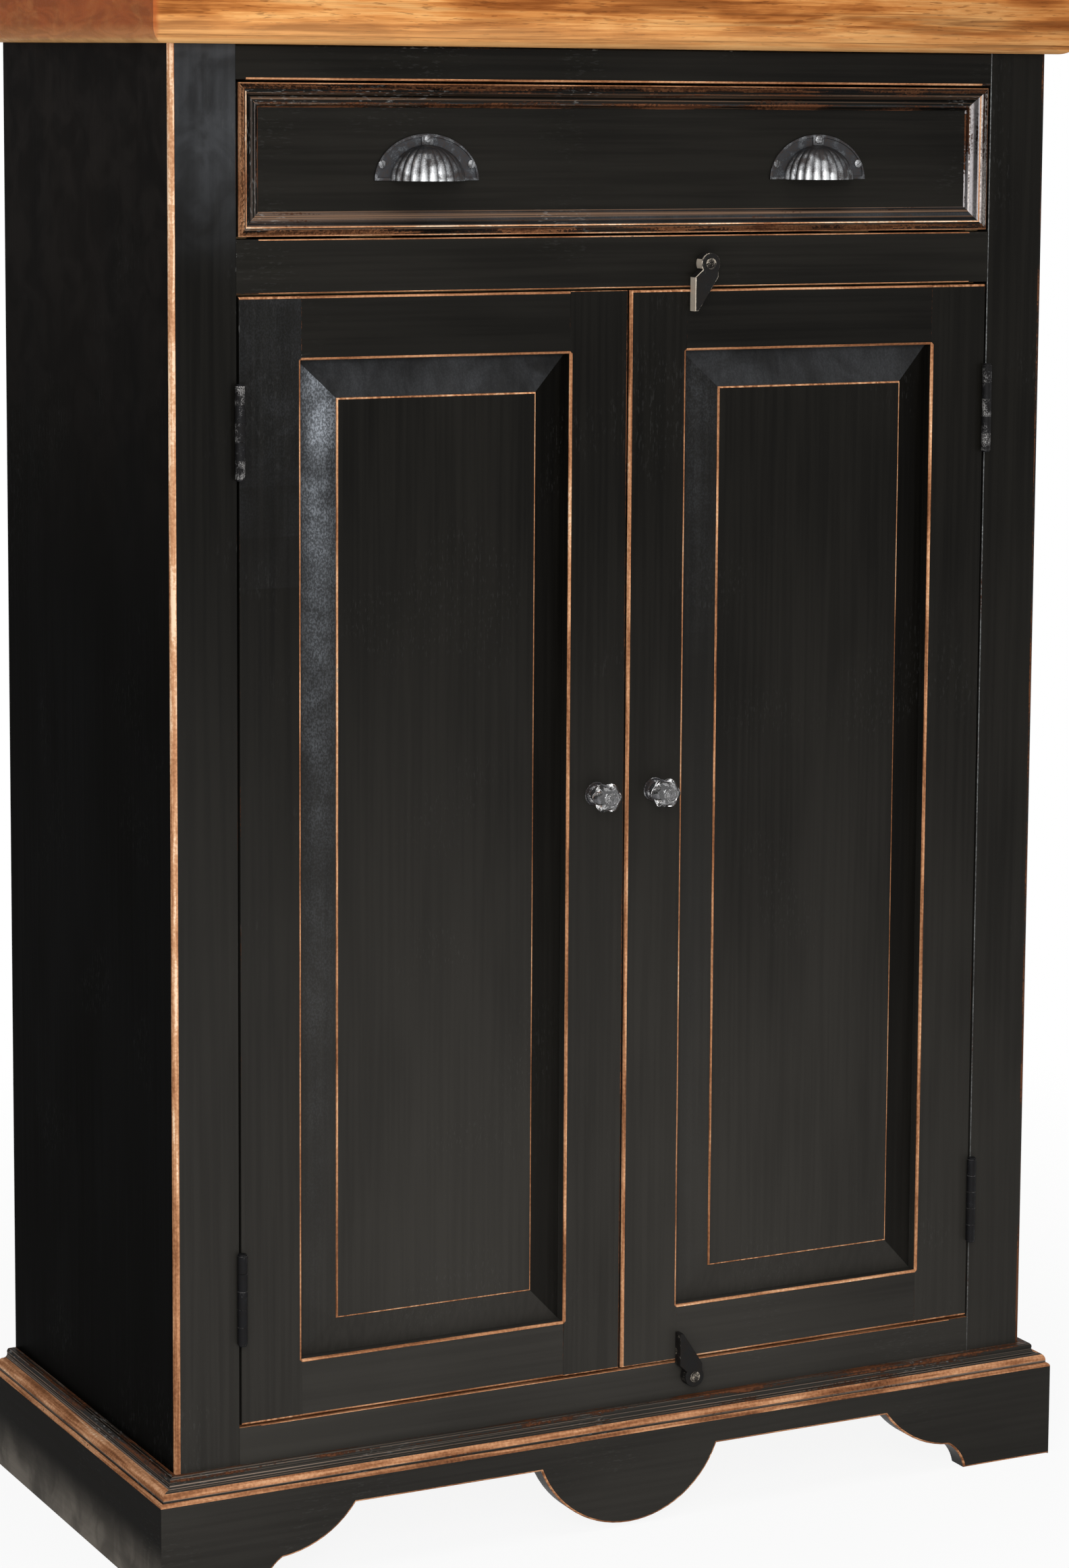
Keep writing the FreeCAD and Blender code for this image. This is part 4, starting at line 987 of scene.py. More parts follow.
@dataclass
class Plinth:
    """The plinth boards with their scalloped apron, and the moulding on top of them.

    A band of the moulding is its top above the plinth and its wear.
    """

    apron_round: float = 1.6 * MM
    apron_wear: float = 0.95
    apron_in: float = 1.0 * MM
    apron_under: float = 5.0 * MM
    top_round: float = 3.2 * MM
    top_tilt: tuple[float, float] = (0.03, 0.995)
    top_wear: float = 0.85
    # how high the painted floor reflection on the side boards reaches, as a share of their height
    floor_reflection_rise: float = 0.62
    front_bands: Steps = ((2.1 * MM, 0.12), (6.8 * MM, 0.86), (12.4 * MM, 0.14), (math.inf, 0.34))
    side_bands: Steps = ((2.1 * MM, 0.12), (8.6 * MM, 0.97), (12.4 * MM, 0.14), (math.inf, 0.34))
    front_paint: BlackPaint = BlackPaint(Grain.LEVEL, dust_and_floor_light=0.75)
    # the side boards' paint: darker than the front as painted shade
    side_paint_shaded: BlackPaint = BlackPaint(Grain.DEEP, sheen=0.02, tone=0.7, dust_and_floor_light=0.18)
    # the colour of the painted floor reflection on the side boards
    floor_reflection: Colour = (0.25, 0.222, 0.188)
    side_board_sheen: float = 0.005
    drag: float = 0.95
    glaze: Colour = (0.24, 0.180, 0.140)
    body: str = "carcass"

    def board(self, side: str) -> None:
        """Make one plinth board with its worn top and lower edges, with painted shade and floor reflection on
        the sides.

        Args:
            side: front, left or right.
        """
        node = f"{side}_plinth"
        low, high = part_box(node)
        least, most = self.top_tilt
        copy = Mended(node)
        paint = self.front_paint
        # side boards: painted shade, and a painted floor reflection that grows towards the floor
        if side in SIDES:
            paint = replace(self.side_paint_shaded, sheen=self.side_board_sheen, painted_reflection=1.0, speckle=0.0, painted_sheen_colour=self.floor_reflection,
                            painted_reflection_rise=(self.floor_reflection_rise * high.z, 0.0))
        else:
            copy.soften(lambda edge: self.on_outline(edge, low, high), self.apron_round, self.apron_wear)
        copy.mark(WEAR, self.top_wear,
                  lambda face: middle(face).z > high.z - self.top_round and least < face.normal.z < most)
        copy.done(paint, self.body, PAINT_SLOT)

    def on_outline(self, edge: bmesh.types.BMEdge, low: Vector, high: Vector) -> bool:
        """Whether an edge is on the front face's scalloped outline.

        Args:
            edge: The edge.
            low: The board's lowest corner.
            high: Its highest corner.

        Returns:
            True if it is.
        """
        ends = [vertex.co for vertex in edge.verts]
        on_face = all(abs(end.y - low.y) < NEAR for end in ends)
        inside = any(abs(end.x) < high.x - self.apron_in for end in ends)
        return on_face and inside and max(end.z for end in ends) < high.z - self.apron_under

    def moulding(self, side: str) -> None:
        """Make one stretch of moulding with its rubbed bands.

        Args:
            side: front, left or right.
        """
        node = f"{side}_base_moulding"
        low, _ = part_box(node)
        is_side = side in SIDES
        bands, paint = (self.side_bands, self.side_paint_shaded) if is_side else (self.front_bands, self.front_paint)

        def wear_at(face: Face) -> float:
            """The wear of the band that a face belongs to."""
            return next(wear for top, wear in bands if middle(face).z - low.z <= top)

        copy = Mended(node).mark(WEAR, wear_at, lambda face: True)
        copy.done(replace(paint, drag=self.drag, glaze=self.glaze), self.body, PAINT_SLOT)

    def build(self) -> None:
        """Make the boards and the mouldings."""
        for side in ("front", *SIDES):
            self.board(side)
            self.moulding(side)


@dataclass
class Door:
    """One door: two stiles, two rails and a raised panel.

    bevel_painted_sheen gives heights and the painted sheen of the panel's left bevel there; band is where
    that painted sheen starts, peaks and ends across the bevel.
    """

    side: str
    meeting_wear: float
    meeting_round: float
    bevel_painted_sheen: Steps
    stile_painted_sheen: float
    rub: float = 1.9 * MM
    rub_wear: float = 0.9
    hinge_round: float = 1.0 * MM
    hinge_wear: float = 0.12
    sticking: float = 2.0 * MM
    sticking_wear: float = 0.95
    field_edge: float = 1.3 * MM
    seam: float = 0.35 * MM
    shoulder_wear: float = 0.25
    stile_steps: tuple[float, ...] = (0.80, 0.84, 0.88, 0.92)
    cuts: int = 44
    bevel_tilt: float = 0.08
    bevel_front: float = 0.5
    bevel_share: float = 0.19
    band: tuple[float, ...] = (0.05, 0.45, 1.0)
    top_painted_sheen: float = 0.5
    stile_paint: BlackPaint = BlackPaint(speckle=0.4)
    # a darker copy of the paint as painted shade on the right bevel, and a pale one as painted sheen on the
    # left
    painted_shade: BlackPaint = BlackPaint(sheen=0.02, tone=0.6, dust_and_floor_light=0.3)
    painted_sheen_bevel: BlackPaint = BlackPaint(speckle=0.45, painted_sheen_colour=(0.30, 0.325, 0.36))

    @property
    def body(self) -> str:
        """The body that the door moves with."""
        return f"{self.side}_door"

    def stile(self, name: str, is_meeting: bool) -> None:
        """Make one stile, worn along the panel and at its ends.

        Args:
            name: The end of its node's name.
            is_meeting: Whether it meets the other door.
        """
        node = f"{self.body}_{name}"
        low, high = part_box(node)
        panel_left = (SIDES[self.side] < 0) == is_meeting
        inner, outer = (low.x, high.x) if panel_left else (high.x, low.x)
        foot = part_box(f"{self.body}_bottom_rail")[1].z
        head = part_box(f"{self.body}_top_rail")[0].z
        beside_panel = Worn("Z", x=inner, y=low.y)
        copy = Mended(node).cut("Z", foot).cut("Z", head)
        copy.soften(lambda edge: beside_panel.holds(edge)
                    and foot < (edge.verts[0].co.z + edge.verts[1].co.z) / 2 < head,
                    self.sticking, self.sticking_wear)
        outer_wear = self.meeting_wear if is_meeting else self.hinge_wear
        outer_round = self.meeting_round if is_meeting else self.hinge_round
        lines = [Worn("Z", x=outer, y=low.y, width=outer_round, wear=outer_wear),
                 Worn("X", y=low.y, z=high.z, width=self.rub, wear=self.rub_wear),
                 Worn("X", y=low.y, z=low.z, width=self.rub, wear=self.rub_wear)]
        copy.worn(*(lines if is_meeting else reversed(lines)))
        # painted sheen on the hinge stile's front, growing upwards
        if not is_meeting and self.stile_painted_sheen:
            for step in self.stile_steps:
                copy.cut("Z", step)
            copy.mark(PAINTED_SHEEN, lambda face: self.stile_painted_sheen * sum(middle(face).z > step
                                                               for step in self.stile_steps),
                      lambda face: face.normal.y < -SQUARE)
        copy.done(self.stile_paint, self.body, PAINT_SLOT)

    def rail(self, name: str) -> None:
        """Make the upper or the lower rail.

        Args:
            name: top_rail or bottom_rail.
        """
        node = f"{self.body}_{name}"
        low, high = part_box(node)
        inner, outer = (low.z, high.z) if name == "top_rail" else (high.z, low.z)
        copy = Mended(node)
        copy.worn(Worn("X", y=low.y, z=inner, width=self.sticking, wear=self.sticking_wear),
                  Worn("X", y=low.y, z=outer, width=self.rub, wear=self.rub_wear))
        stiles = (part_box(f"{self.body}_hinge_stile"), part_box(f"{self.body}_meeting_stile"))
        left, right = sorted(stiles, key=lambda ends: ends[0].x)
        for shoulder in (left[1].x, right[0].x):
            copy.worn(Worn("Z", x=shoulder, y=low.y, width=self.seam, wear=self.shoulder_wear))
        copy.done(BlackPaint(Grain.LEVEL), self.body, PAINT_SLOT)

    def panel(self) -> None:
        """Make the raised panel: rubbed field, painted sheen on the left and upper bevels, painted shade on
        the right.
        """
        node = f"{self.body}_panel"
        low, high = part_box(node)
        slope = (high.x - low.x) * self.bevel_share
        band = tuple(low.x + share * slope for share in self.band)

        def on_field_edge(edge: bmesh.types.BMEdge) -> bool:
            """Whether an edge lies in the field's plane."""
            return all(abs(vertex.co.y - low.y) < NEAR for vertex in edge.verts)

        def on_bevel(face: Face, slant: float) -> bool:
            """Whether a face slants off the field, slant being its normal's part that way."""
            return slant > self.bevel_tilt and face.normal.y < -self.bevel_front

        copy = Mended(node)
        for number in range(1, self.cuts):
            copy.cut("Z", low.z + (high.z - low.z) * number / self.cuts)
        copy.soften(on_field_edge, self.field_edge, self.rub_wear)
        # painted sheen on the left and upper bevels
        copy.mark(PAINTED_SHEEN, self.painted_sheen_at, lambda face: on_bevel(face, -face.normal.x))
        copy.mark(PAINTED_SHEEN, self.top_painted_sheen, lambda face: on_bevel(face, face.normal.z))
        copy.done(BlackPaint(), self.body, PAINT_SLOT,
                  (self.painted_shade, lambda face: on_bevel(face, face.normal.x)),
                  (replace(self.painted_sheen_bevel, band=band), lambda face: on_bevel(face, -face.normal.x)))

    def painted_sheen_at(self, face: Face) -> float:
        """The painted sheen on a bevel at a face's height, between the heights that are given.

        Args:
            face: The face.

        Returns:
            The bloom.
        """
        height = middle(face).z
        below = [step for step in self.bevel_painted_sheen if step[0] <= height] or [self.bevel_painted_sheen[0]]
        above = [step for step in self.bevel_painted_sheen if step[0] > height] or [self.bevel_painted_sheen[-1]]
        (low, first), (high, second) = below[-1], above[0]
        share = (height - low) / (high - low) if high > low else 0.0
        return first + (second - first) * share

    def build(self) -> None:
        """Make the five pieces."""
        self.stile("hinge_stile", is_meeting=False)
        self.stile("meeting_stile", is_meeting=True)
        self.rail("top_rail")
        self.rail("bottom_rail")
        self.panel()


@dataclass
class Drawer:
    """The drawer's front with its planted moulding; the box behind it keeps its CAD shape.

    land, quirk and hollow are where these bands of the moulding end, from the outline inwards. wear holds
    the left, right, lower and upper strip, each from its inner bead over hollow and quirk to the land.
    """

    land: float = 4.9 * MM
    quirk: float = 7.0 * MM
    hollow: float = 14.6 * MM
    strip: float = 17.0 * MM
    tilt: float = 0.05
    rub: float = 1.0 * MM
    left_rub: float = 1.5 * MM
    # the left outer edge: wear with a painted highlight
    left_wear_and_highlight: float = 1.2
    right_wear: float = 0.9
    level_wear: float = 0.95
    lip: float = 0.35 * MM
    lip_wear: float = 0.38
    end_lip: float = 0.595 * MM
    end_lip_wear: float = 1.3
    wear: tuple[tuple[float, ...], ...] = ((0.34, 0.10, 0.20, 1.15), (0.34, 0.10, 0.20, 0.30),
                                           (0.14, 0.10, 0.20, 0.58), (0.40, 0.14, 0.20, 0.52))
    # painted sheen on faces that look left, on the right strip and on faces that look up
    left_painted_sheen: float = 1.5
    right_painted_sheen: float = 1.25
    upward_painted_sheen: float = 0.5
    level_paint: BlackPaint = BlackPaint(Grain.LEVEL, drag=0.95, glaze=(0.20, 0.120, 0.076))
    # pale copies of the paint: painted sheen on the end strips, a painted highlight on the right strip
    end_painted_sheen: BlackPaint = BlackPaint(drag=0.45, speckle=0.35, painted_sheen_colour=(0.48, 0.455, 0.46),
                                       glaze=(0.20, 0.150, 0.125))
    right_painted_highlight: BlackPaint = BlackPaint(drag=0.45, speckle=0.35, painted_sheen_colour=(0.86, 0.79, 0.74),
                                         glaze=(0.36, 0.27, 0.225))
    body: str = "drawer"

    def mouldings(self) -> None:
        """Make the four mitred strips, each band rubbed in its own way."""
        low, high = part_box("drawer_front_mouldings")

        def margins(face: Face) -> tuple[float, ...]:
            """How far a face's middle is from the left, right, lower and upper edge."""
            spot = middle(face)
            return spot.x - low.x, high.x - spot.x, spot.z - low.z, high.z - spot.z

        def wear_at(face: Face) -> float:
            """The wear of the strip and the band that a face belongs to."""
            inset = min(margins(face))
            band = sum(inset <= edge for edge in (self.hollow, self.quirk, self.land))
            return self.wear[margins(face).index(inset)][band]

        def is_inner(face: Face) -> bool:
            """Whether a face lies inside the land."""
            return min(margins(face)) > self.land

        def is_upright(face: Face) -> bool:
            """Whether a face belongs to the strip at the left or right end."""
            left, right, under, over = margins(face)
            return min(left, right) < min(under, over)

        def is_right(face: Face) -> bool:
            """Whether a face lies near the right end and doesn't look left or along the front."""
            return margins(face)[1] < self.strip and -self.tilt <= face.normal.x < SQUARE

        def on_lip(edge: bmesh.types.BMEdge, is_end: bool) -> bool:
            """Whether an edge is a lip inside its strip's outer edge.

            Args:
                edge: The edge.
                is_end: Whether a strip at the ends is meant, or else one above or below.

            Returns:
                True if it is.
            """
            ends = [vertex.co for vertex in edge.verts]
            across = [min(end.x - low.x, high.x - end.x) for end in ends]
            rise = [min(end.z - low.z, high.z - end.z) for end in ends]
            own, other = (across, rise) if is_end else (rise, across)
            is_along = abs(own[0] - own[1]) < NEAR and own[0] > 2 * self.rub
            return is_along and sum(own) < sum(other) and max(end.y for end in ends) < high.y - NEAR

        copy = Mended("drawer_front_mouldings")
        copy.mark(WEAR, wear_at, lambda face: min(margins(face)) > NEAR)
        # painted sheen on faces that look left or up, and on the right strip
        copy.mark(PAINTED_SHEEN, self.left_painted_sheen, lambda face: face.normal.x < -self.tilt and is_inner(face))
        copy.mark(PAINTED_SHEEN, self.right_painted_sheen, is_right)
        copy.mark(PAINTED_SHEEN, self.upward_painted_sheen, lambda face: face.normal.z > self.tilt and is_inner(face))
        copy.worn(Worn("X", y=low.y, z=low.z, width=self.rub, wear=self.level_wear),
                  Worn("X", y=low.y, z=high.z, width=self.rub, wear=self.level_wear),
                  Worn("Z", x=low.x, y=low.y, width=self.left_rub, wear=self.left_wear_and_highlight),
                  Worn("Z", x=high.x, y=low.y, width=self.rub, wear=self.right_wear))
        copy.soften(lambda edge: on_lip(edge, True), self.end_lip, self.end_lip_wear, 1)
        copy.soften(lambda edge: on_lip(edge, False), self.lip, self.lip_wear, 1)
        copy.done(self.level_paint, self.body, PAINT_SLOT, (self.end_painted_sheen, is_upright),
                  (self.right_painted_highlight, lambda face: is_upright(face) and is_right(face)))

    def build(self) -> None:
        """Make the front board and its mouldings."""
        Mended("drawer_front").done(LEVEL_PAINT, self.body, PAINT_SLOT)
        self.mouldings()


def turned(name: str, centre: Vector, steps: Steps, sides: int) -> bpy.types.Object:
    """Turn a round piece whose axis points out of the front.

    Args:
        name: The piece's name.
        centre: The middle of its back.
        steps: Reach from the back and radius, from the back outwards.
        sides: Faces round it.

    Returns:
        The piece, with closed ends.
    """
    deselect_all()
    reach, radius = steps[0]
    bpy.ops.mesh.primitive_circle_add(vertices=sides, radius=radius, fill_type="NGON",
                                      location=centre - Vector((0.0, reach, 0.0)),
                                      rotation=(QUARTER_TURN, 0.0, 0.0))
    piece = bpy.context.object
    piece.name = name
    bpy.ops.object.transform_apply(location=True, rotation=True, scale=True)
    with editing(piece):
        bpy.ops.mesh.select_mode(type="EDGE")
        select_all()
        for next_reach, next_radius in steps[1:]:
            move = {"value": (0.0, reach - next_reach, 0.0)}
            bpy.ops.mesh.extrude_edges_move(TRANSFORM_OT_translate=move)
            size = next_radius / radius
            bpy.ops.transform.resize(value=(size, 1.0, size),
                                     center_override=centre - Vector((0.0, next_reach, 0.0)))
            reach, radius = next_reach, next_radius
        bpy.ops.mesh.edge_face_add()
        face_outwards()
    return piece


def eased(steps: Steps, parts: int) -> list[tuple[float, float]]:
    """Put more steps into a turned outline, on a smooth curve through the given ones.

    Args:
        steps: Reach and radius.
        parts: How many steps each one becomes.

    Returns:
        The finer outline.
    """
    points = [Vector(step) for step in steps]
    finer = []
    for number in range(len(points) - 1):
        before = points[max(number - 1, 0)]
        first, second = points[number], points[number + 1]
        after = points[min(number + 2, len(points) - 1)]
        for part in range(parts):
            share = part / parts
            bend = ((2 * first) + (second - before) * share
                    + (2 * before - 5 * first + 4 * second - after) * share ** 2
                    + (3 * first - before - 3 * second + after) * share ** 3)
            finer.append(tuple(0.5 * bend))
    finer.append(tuple(points[-1]))
    return finer


def slotted(piece: bpy.types.Object, front: float, half: float, depth: float) -> None:
    """Cut a driver's slot across a screw's head.

    Args:
        piece: The screw, on the axis through the origin.
        front: Where the head begins, in Y.
        half: Half the slot's width.
        depth: The slot's depth.
    """
    head_tilt = 0.3
    with editing(piece):
        bpy.ops.mesh.select_mode(type="FACE")
        for shift in (-half, half):
            select_all()
            bpy.ops.mesh.bisect(plane_co=(shift, 0.0, 0.0), plane_no=(1.0, 0.0, 0.0))
        bpy.ops.mesh.select_all(action="DESELECT")
        shape = bmesh.from_edit_mesh(piece.data)
        for face in shape.faces:
            spot = middle(face)
            face.select_set(abs(spot.x) < half and face.normal.y < -head_tilt and spot.y < front)
        bmesh.update_edit_mesh(piece.data)
        bpy.ops.mesh.extrude_region_move(TRANSFORM_OT_translate={"value": (0.0, depth, 0.0)})


def rub(piece: bpy.types.Object, rule: FaceValue) -> None:
    """Store how worn each face of a piece is."""
    layer = piece.data.attributes.new(WEAR, "FLOAT", "FACE")
    layer.data.foreach_set("value", [rule(face) for face in piece.data.polygons])


def joined(name: str, pieces: Sequence[bpy.types.Object]) -> bpy.types.Object:
    """Join several meshes into one piece.

    Args:
        name: Its name.
        pieces: The meshes' objects.

    Returns:
        The piece.
    """
    take(pieces[0])
    for piece in pieces:
        piece.select_set(True)
    bpy.ops.object.join()
    made = bpy.context.object
    made.name = name
    return made


def smooth(piece: bpy.types.Object, degrees: float) -> bpy.types.Object:
    """Shade a piece smooth.

    Args:
        piece: The piece.
        degrees: The angle from which an edge stays sharp.

    Returns:
        The piece.
    """
    take(piece)
    bpy.ops.object.shade_smooth_by_angle(angle=math.radians(degrees))
    return piece


def copied(pattern: bpy.types.Object, spot: Vector, degrees: float) -> bpy.types.Object:
    """Copy a screw with its own mesh.

    Args:
        pattern: The screw at the origin.
        spot: The copy's place.
        degrees: How far it is turned about its axis.

    Returns:
        The copy.
    """
    twin = pattern.copy()
    twin.data = pattern.data.copy()
    spin = Matrix.Rotation(math.radians(degrees), 4, "Y")
    twin.data.transform(Matrix.Translation(spot) @ spin)
    bpy.context.scene.collection.objects.link(twin)
    return twin


@dataclass
class CupPulls:
    """The two shell pulls of the drawer: a flat flange, a ribbed cup and three screws each."""

    flange_half: float = 45.0 * MM
    flange_height: float = 36.5 * MM
    flange_thick: float = 2.0 * MM
    flange_sides: int = 128
    flange_wear: tuple[float, float] = (0.16, 0.12)
    arris: float = 0.3 * MM
    slope: float = 0.4 * MM
    rim: float = 1.8 * MM
    rim_depth: float = 0.35 * MM
    sunk: float = 0.7 * MM
    cup_half: float = 32.0 * MM
    cup_height: float = 28.0 * MM
    cup_reach: float = 24.0 * MM
    cup_wall: float = 1.4 * MM
    cup_sides: int = 288
    cup_rings: int = 56
    ribs: int = 12
    rib_depth: float = 1.5 * MM
    rib_fade: float = 1.5
    cup_wear: float = 0.12
    # where the painted highlight on the cup is centred, and how wide it is
    highlight_at: float = -9.0 * MM
    highlight_half: float = 16.0 * MM
    boss_half: float = 5.0 * MM
    boss_height: float = 8.0 * MM
    boss_thick: float = 0.9 * MM
    boss_round: float = 0.45 * MM
    boss_lift: float = 0.4 * MM
    boss_drop: float = 0.6 * MM
    boss_wear: float = 0.19
    shank: tuple[float, float] = (6.0 * MM, 1.3 * MM)
    screw_radius: float = 3.3 * MM
    screw_sides: int = 40
    screw_head: Steps = ((0.05 * MM, 1.0), (0.5 * MM, 1.0), (0.95 * MM, 0.86), (1.3 * MM, 0.58),
                         (1.45 * MM, 0.22))
    screw_wear: tuple[float, float] = (0.24, 0.12)
    screw_tilt: float = 0.2
    slot_front: float = -0.3 * MM
    slot_half: float = 0.38 * MM
    slot_depth: float = 0.6 * MM
    screw_spots: Steps = ((-38.5 * MM, 12.7 * MM), (38.5 * MM, 12.7 * MM), (0.0, 32.25 * MM))
    screw_lift: float = 0.45 * MM
    screw_turn: float = 37.0
    side_turn: float = 20.0
    smooth_to: float = 40.0
    screw_smooth_to: float = 30.0
    finish: DarkMetal = DarkMetal("pull_metal", (0.040, 0.043, 0.048), (0.70, 0.71, 0.72), polish=0.36,
                                  grit=0.07, blotch=0.15)
    body: str = "drawer"

    def seat(self, side: str) -> Vector:
        """The middle of a pull's lower edge, on the drawer's face."""
        low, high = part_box(f"{side}_cup_pull")
        return Vector(((low.x + high.x) / 2, high.y, low.z))

    def flange(self, seat: Vector) -> bpy.types.Object:
        """Make the flat half-round flange with a raised rim.

        Args:
            seat: The middle of its lower edge.

        Returns:
            The flange.
        """
        deselect_all()
        bpy.ops.mesh.primitive_circle_add(vertices=self.flange_sides, radius=self.flange_half,
                                          fill_type="NGON", location=seat,
                                          rotation=(QUARTER_TURN, 0.0, 0.0))
        piece = bpy.context.object
        bpy.ops.object.transform_apply(location=True, rotation=True, scale=True)
        centre = seat + Vector((0.0, 0.0, self.flange_height / 2))
        steps = ((self.flange_thick - self.arris, 0.0), (self.arris, self.slope), (0.0, self.rim),
                 (-self.sunk, self.slope))
        inset = 0.0
        with editing(piece):
            select_all()
            tall = self.flange_height / self.flange_half
            bpy.ops.transform.resize(value=(1.0, 1.0, tall), center_override=seat)
            bpy.ops.mesh.bisect(plane_co=seat, plane_no=(0.0, 0.0, 1.0), clear_inner=True)
            bpy.ops.mesh.select_mode(type="FACE")
            select_all()
            for out, more in steps:
                bpy.ops.mesh.extrude_region_move(TRANSFORM_OT_translate={"value": (0.0, -out, 0.0)})
                size = [1.0 - more / (half - inset) for half in (self.flange_half, self.flange_height / 2)]
                bpy.ops.transform.resize(value=(size[0], 1.0, size[1]), center_override=centre)
                inset += more
            face_outwards()
        raised, plain = self.flange_wear
        front = seat.y - self.flange_thick + self.rim_depth
        rub(piece, lambda face: raised if face.center.y < front else plain)
        return piece

    def cup(self, seat: Vector) -> bpy.types.Object:
        """Make the ribbed quarter-dome that the fingers go behind.

        Args:
            seat: The middle of its lower edge.

        Returns:
            The cup.
        """
        deselect_all()
        bpy.ops.mesh.primitive_uv_sphere_add(segments=self.cup_sides, ring_count=self.cup_rings, radius=1.0,
                                             location=ORIGIN)
        piece = bpy.context.object
        with editing(piece):
            for normal in ((0.0, 0.0, 1.0), (0.0, -1.0, 0.0)):
                select_all()
                bpy.ops.mesh.bisect(plane_co=ORIGIN, plane_no=normal, clear_inner=True)
        for vertex in piece.data.vertices:
            spot = vertex.co
            level = math.hypot(spot.x, spot.y)
            dip = self.rib_depth * (1.0 - self.crown(spot.x, spot.y)) * level ** self.rib_fade
            wide = self.cup_half - dip
            deep = self.cup_reach - dip
            vertex.co = seat + Vector((spot.x * wide, spot.y * deep, spot.z * self.cup_height))
        wall = piece.modifiers.new("wall", "SOLIDIFY")
        wall.thickness = self.cup_wall
        wall.offset = -1.0
        take(piece)
        bpy.ops.object.modifier_apply(modifier=wall.name)
        rub(piece, lambda face: self.cup_wear_and_highlight(face.center - seat))
        return piece

    def crown(self, across: float, back: float) -> float:
        """How near a place of the round cup is to a rib's crown, from 0 to 1."""
        return abs(math.sin(self.ribs * math.atan2(-back, across)))

    def cup_wear_and_highlight(self, spot: Vector) -> float:
        """Bright on the ribs' crowns and the lip, dull between them; a painted highlight, low on the left,
        fades upwards.

        Args:
            spot: A place on the cup, from its seat.

        Returns:
            The wear there.
        """
        crown = self.crown(spot.x / self.cup_half, spot.y / self.cup_reach)
        low = 1.0 - min(1.0, max(0.0, spot.z / self.cup_height))
        # a painted highlight low on the left
        lit = math.exp(-((spot.x - self.highlight_at) / self.highlight_half) ** 2)
        return self.cup_wear + (0.25 + 0.75 * crown) * low ** self.rib_fade * (0.10 + 0.34 * lit)

    def boss(self, seat: Vector) -> bpy.types.Object:
        """Make the small square boss round the upper screw.

        Args:
            seat: The middle of the pull's lower edge.

        Returns:
            The boss.
        """
        deselect_all()
        rise = self.screw_spots[-1][1] - self.boss_drop
        bpy.ops.mesh.primitive_cube_add(
            size=1.0, location=seat + Vector((0.0, self.boss_lift - self.flange_thick, rise)),
            scale=(2 * self.boss_half, 2 * self.boss_thick, self.boss_height))
        piece = bpy.context.object
        bpy.ops.object.transform_apply(location=True, rotation=True, scale=True)
        with editing(piece):
            select_all()
            bpy.ops.mesh.bevel(offset=self.boss_round, segments=2, affect="EDGES")
        rub(piece, lambda face: self.boss_wear)
        return piece

    def screw(self) -> bpy.types.Object:
        """Make one slotted screw with a low dome, at the origin."""
        length, thick = self.shank
        head = [(reach, share * self.screw_radius) for reach, share in self.screw_head]
        piece = turned("cup_pull_screw", ORIGIN, ((-length, thick), (0.0, thick), *head), self.screw_sides)
        slotted(piece, self.slot_front, self.slot_half, self.slot_depth)
        dome, side = self.screw_wear
        rub(piece, lambda face: dome if face.normal.y < -self.screw_tilt else side)
        return piece

    def build(self) -> None:
        """Make both pulls and their six screws."""
        pattern = self.screw()
        heads = []
        for side, way in SIDES.items():
            seat = self.seat(side)
            pull = joined(f"{side}_cup_pull_cast", [self.flange(seat), self.cup(seat), self.boss(seat)])
            dress(smooth(pull, self.smooth_to), self.finish)
            settle(pull, self.body, METAL_SLOT, f"{side}_cup_pull")
            for number, (across, rise) in enumerate(self.screw_spots):
                lift = self.screw_lift if across == 0.0 else -self.sunk
                spot = seat + Vector((across, -self.flange_thick - lift, rise))
                heads.append(copied(pattern, spot, self.screw_turn * number + self.side_turn * way))
        bpy.data.objects.remove(pattern)
        screws = joined("cup_pull_screws_slotted", heads)
        dress(smooth(screws, self.screw_smooth_to), self.finish)
        settle(screws, self.body, METAL_SLOT, "cup_pull_screws")


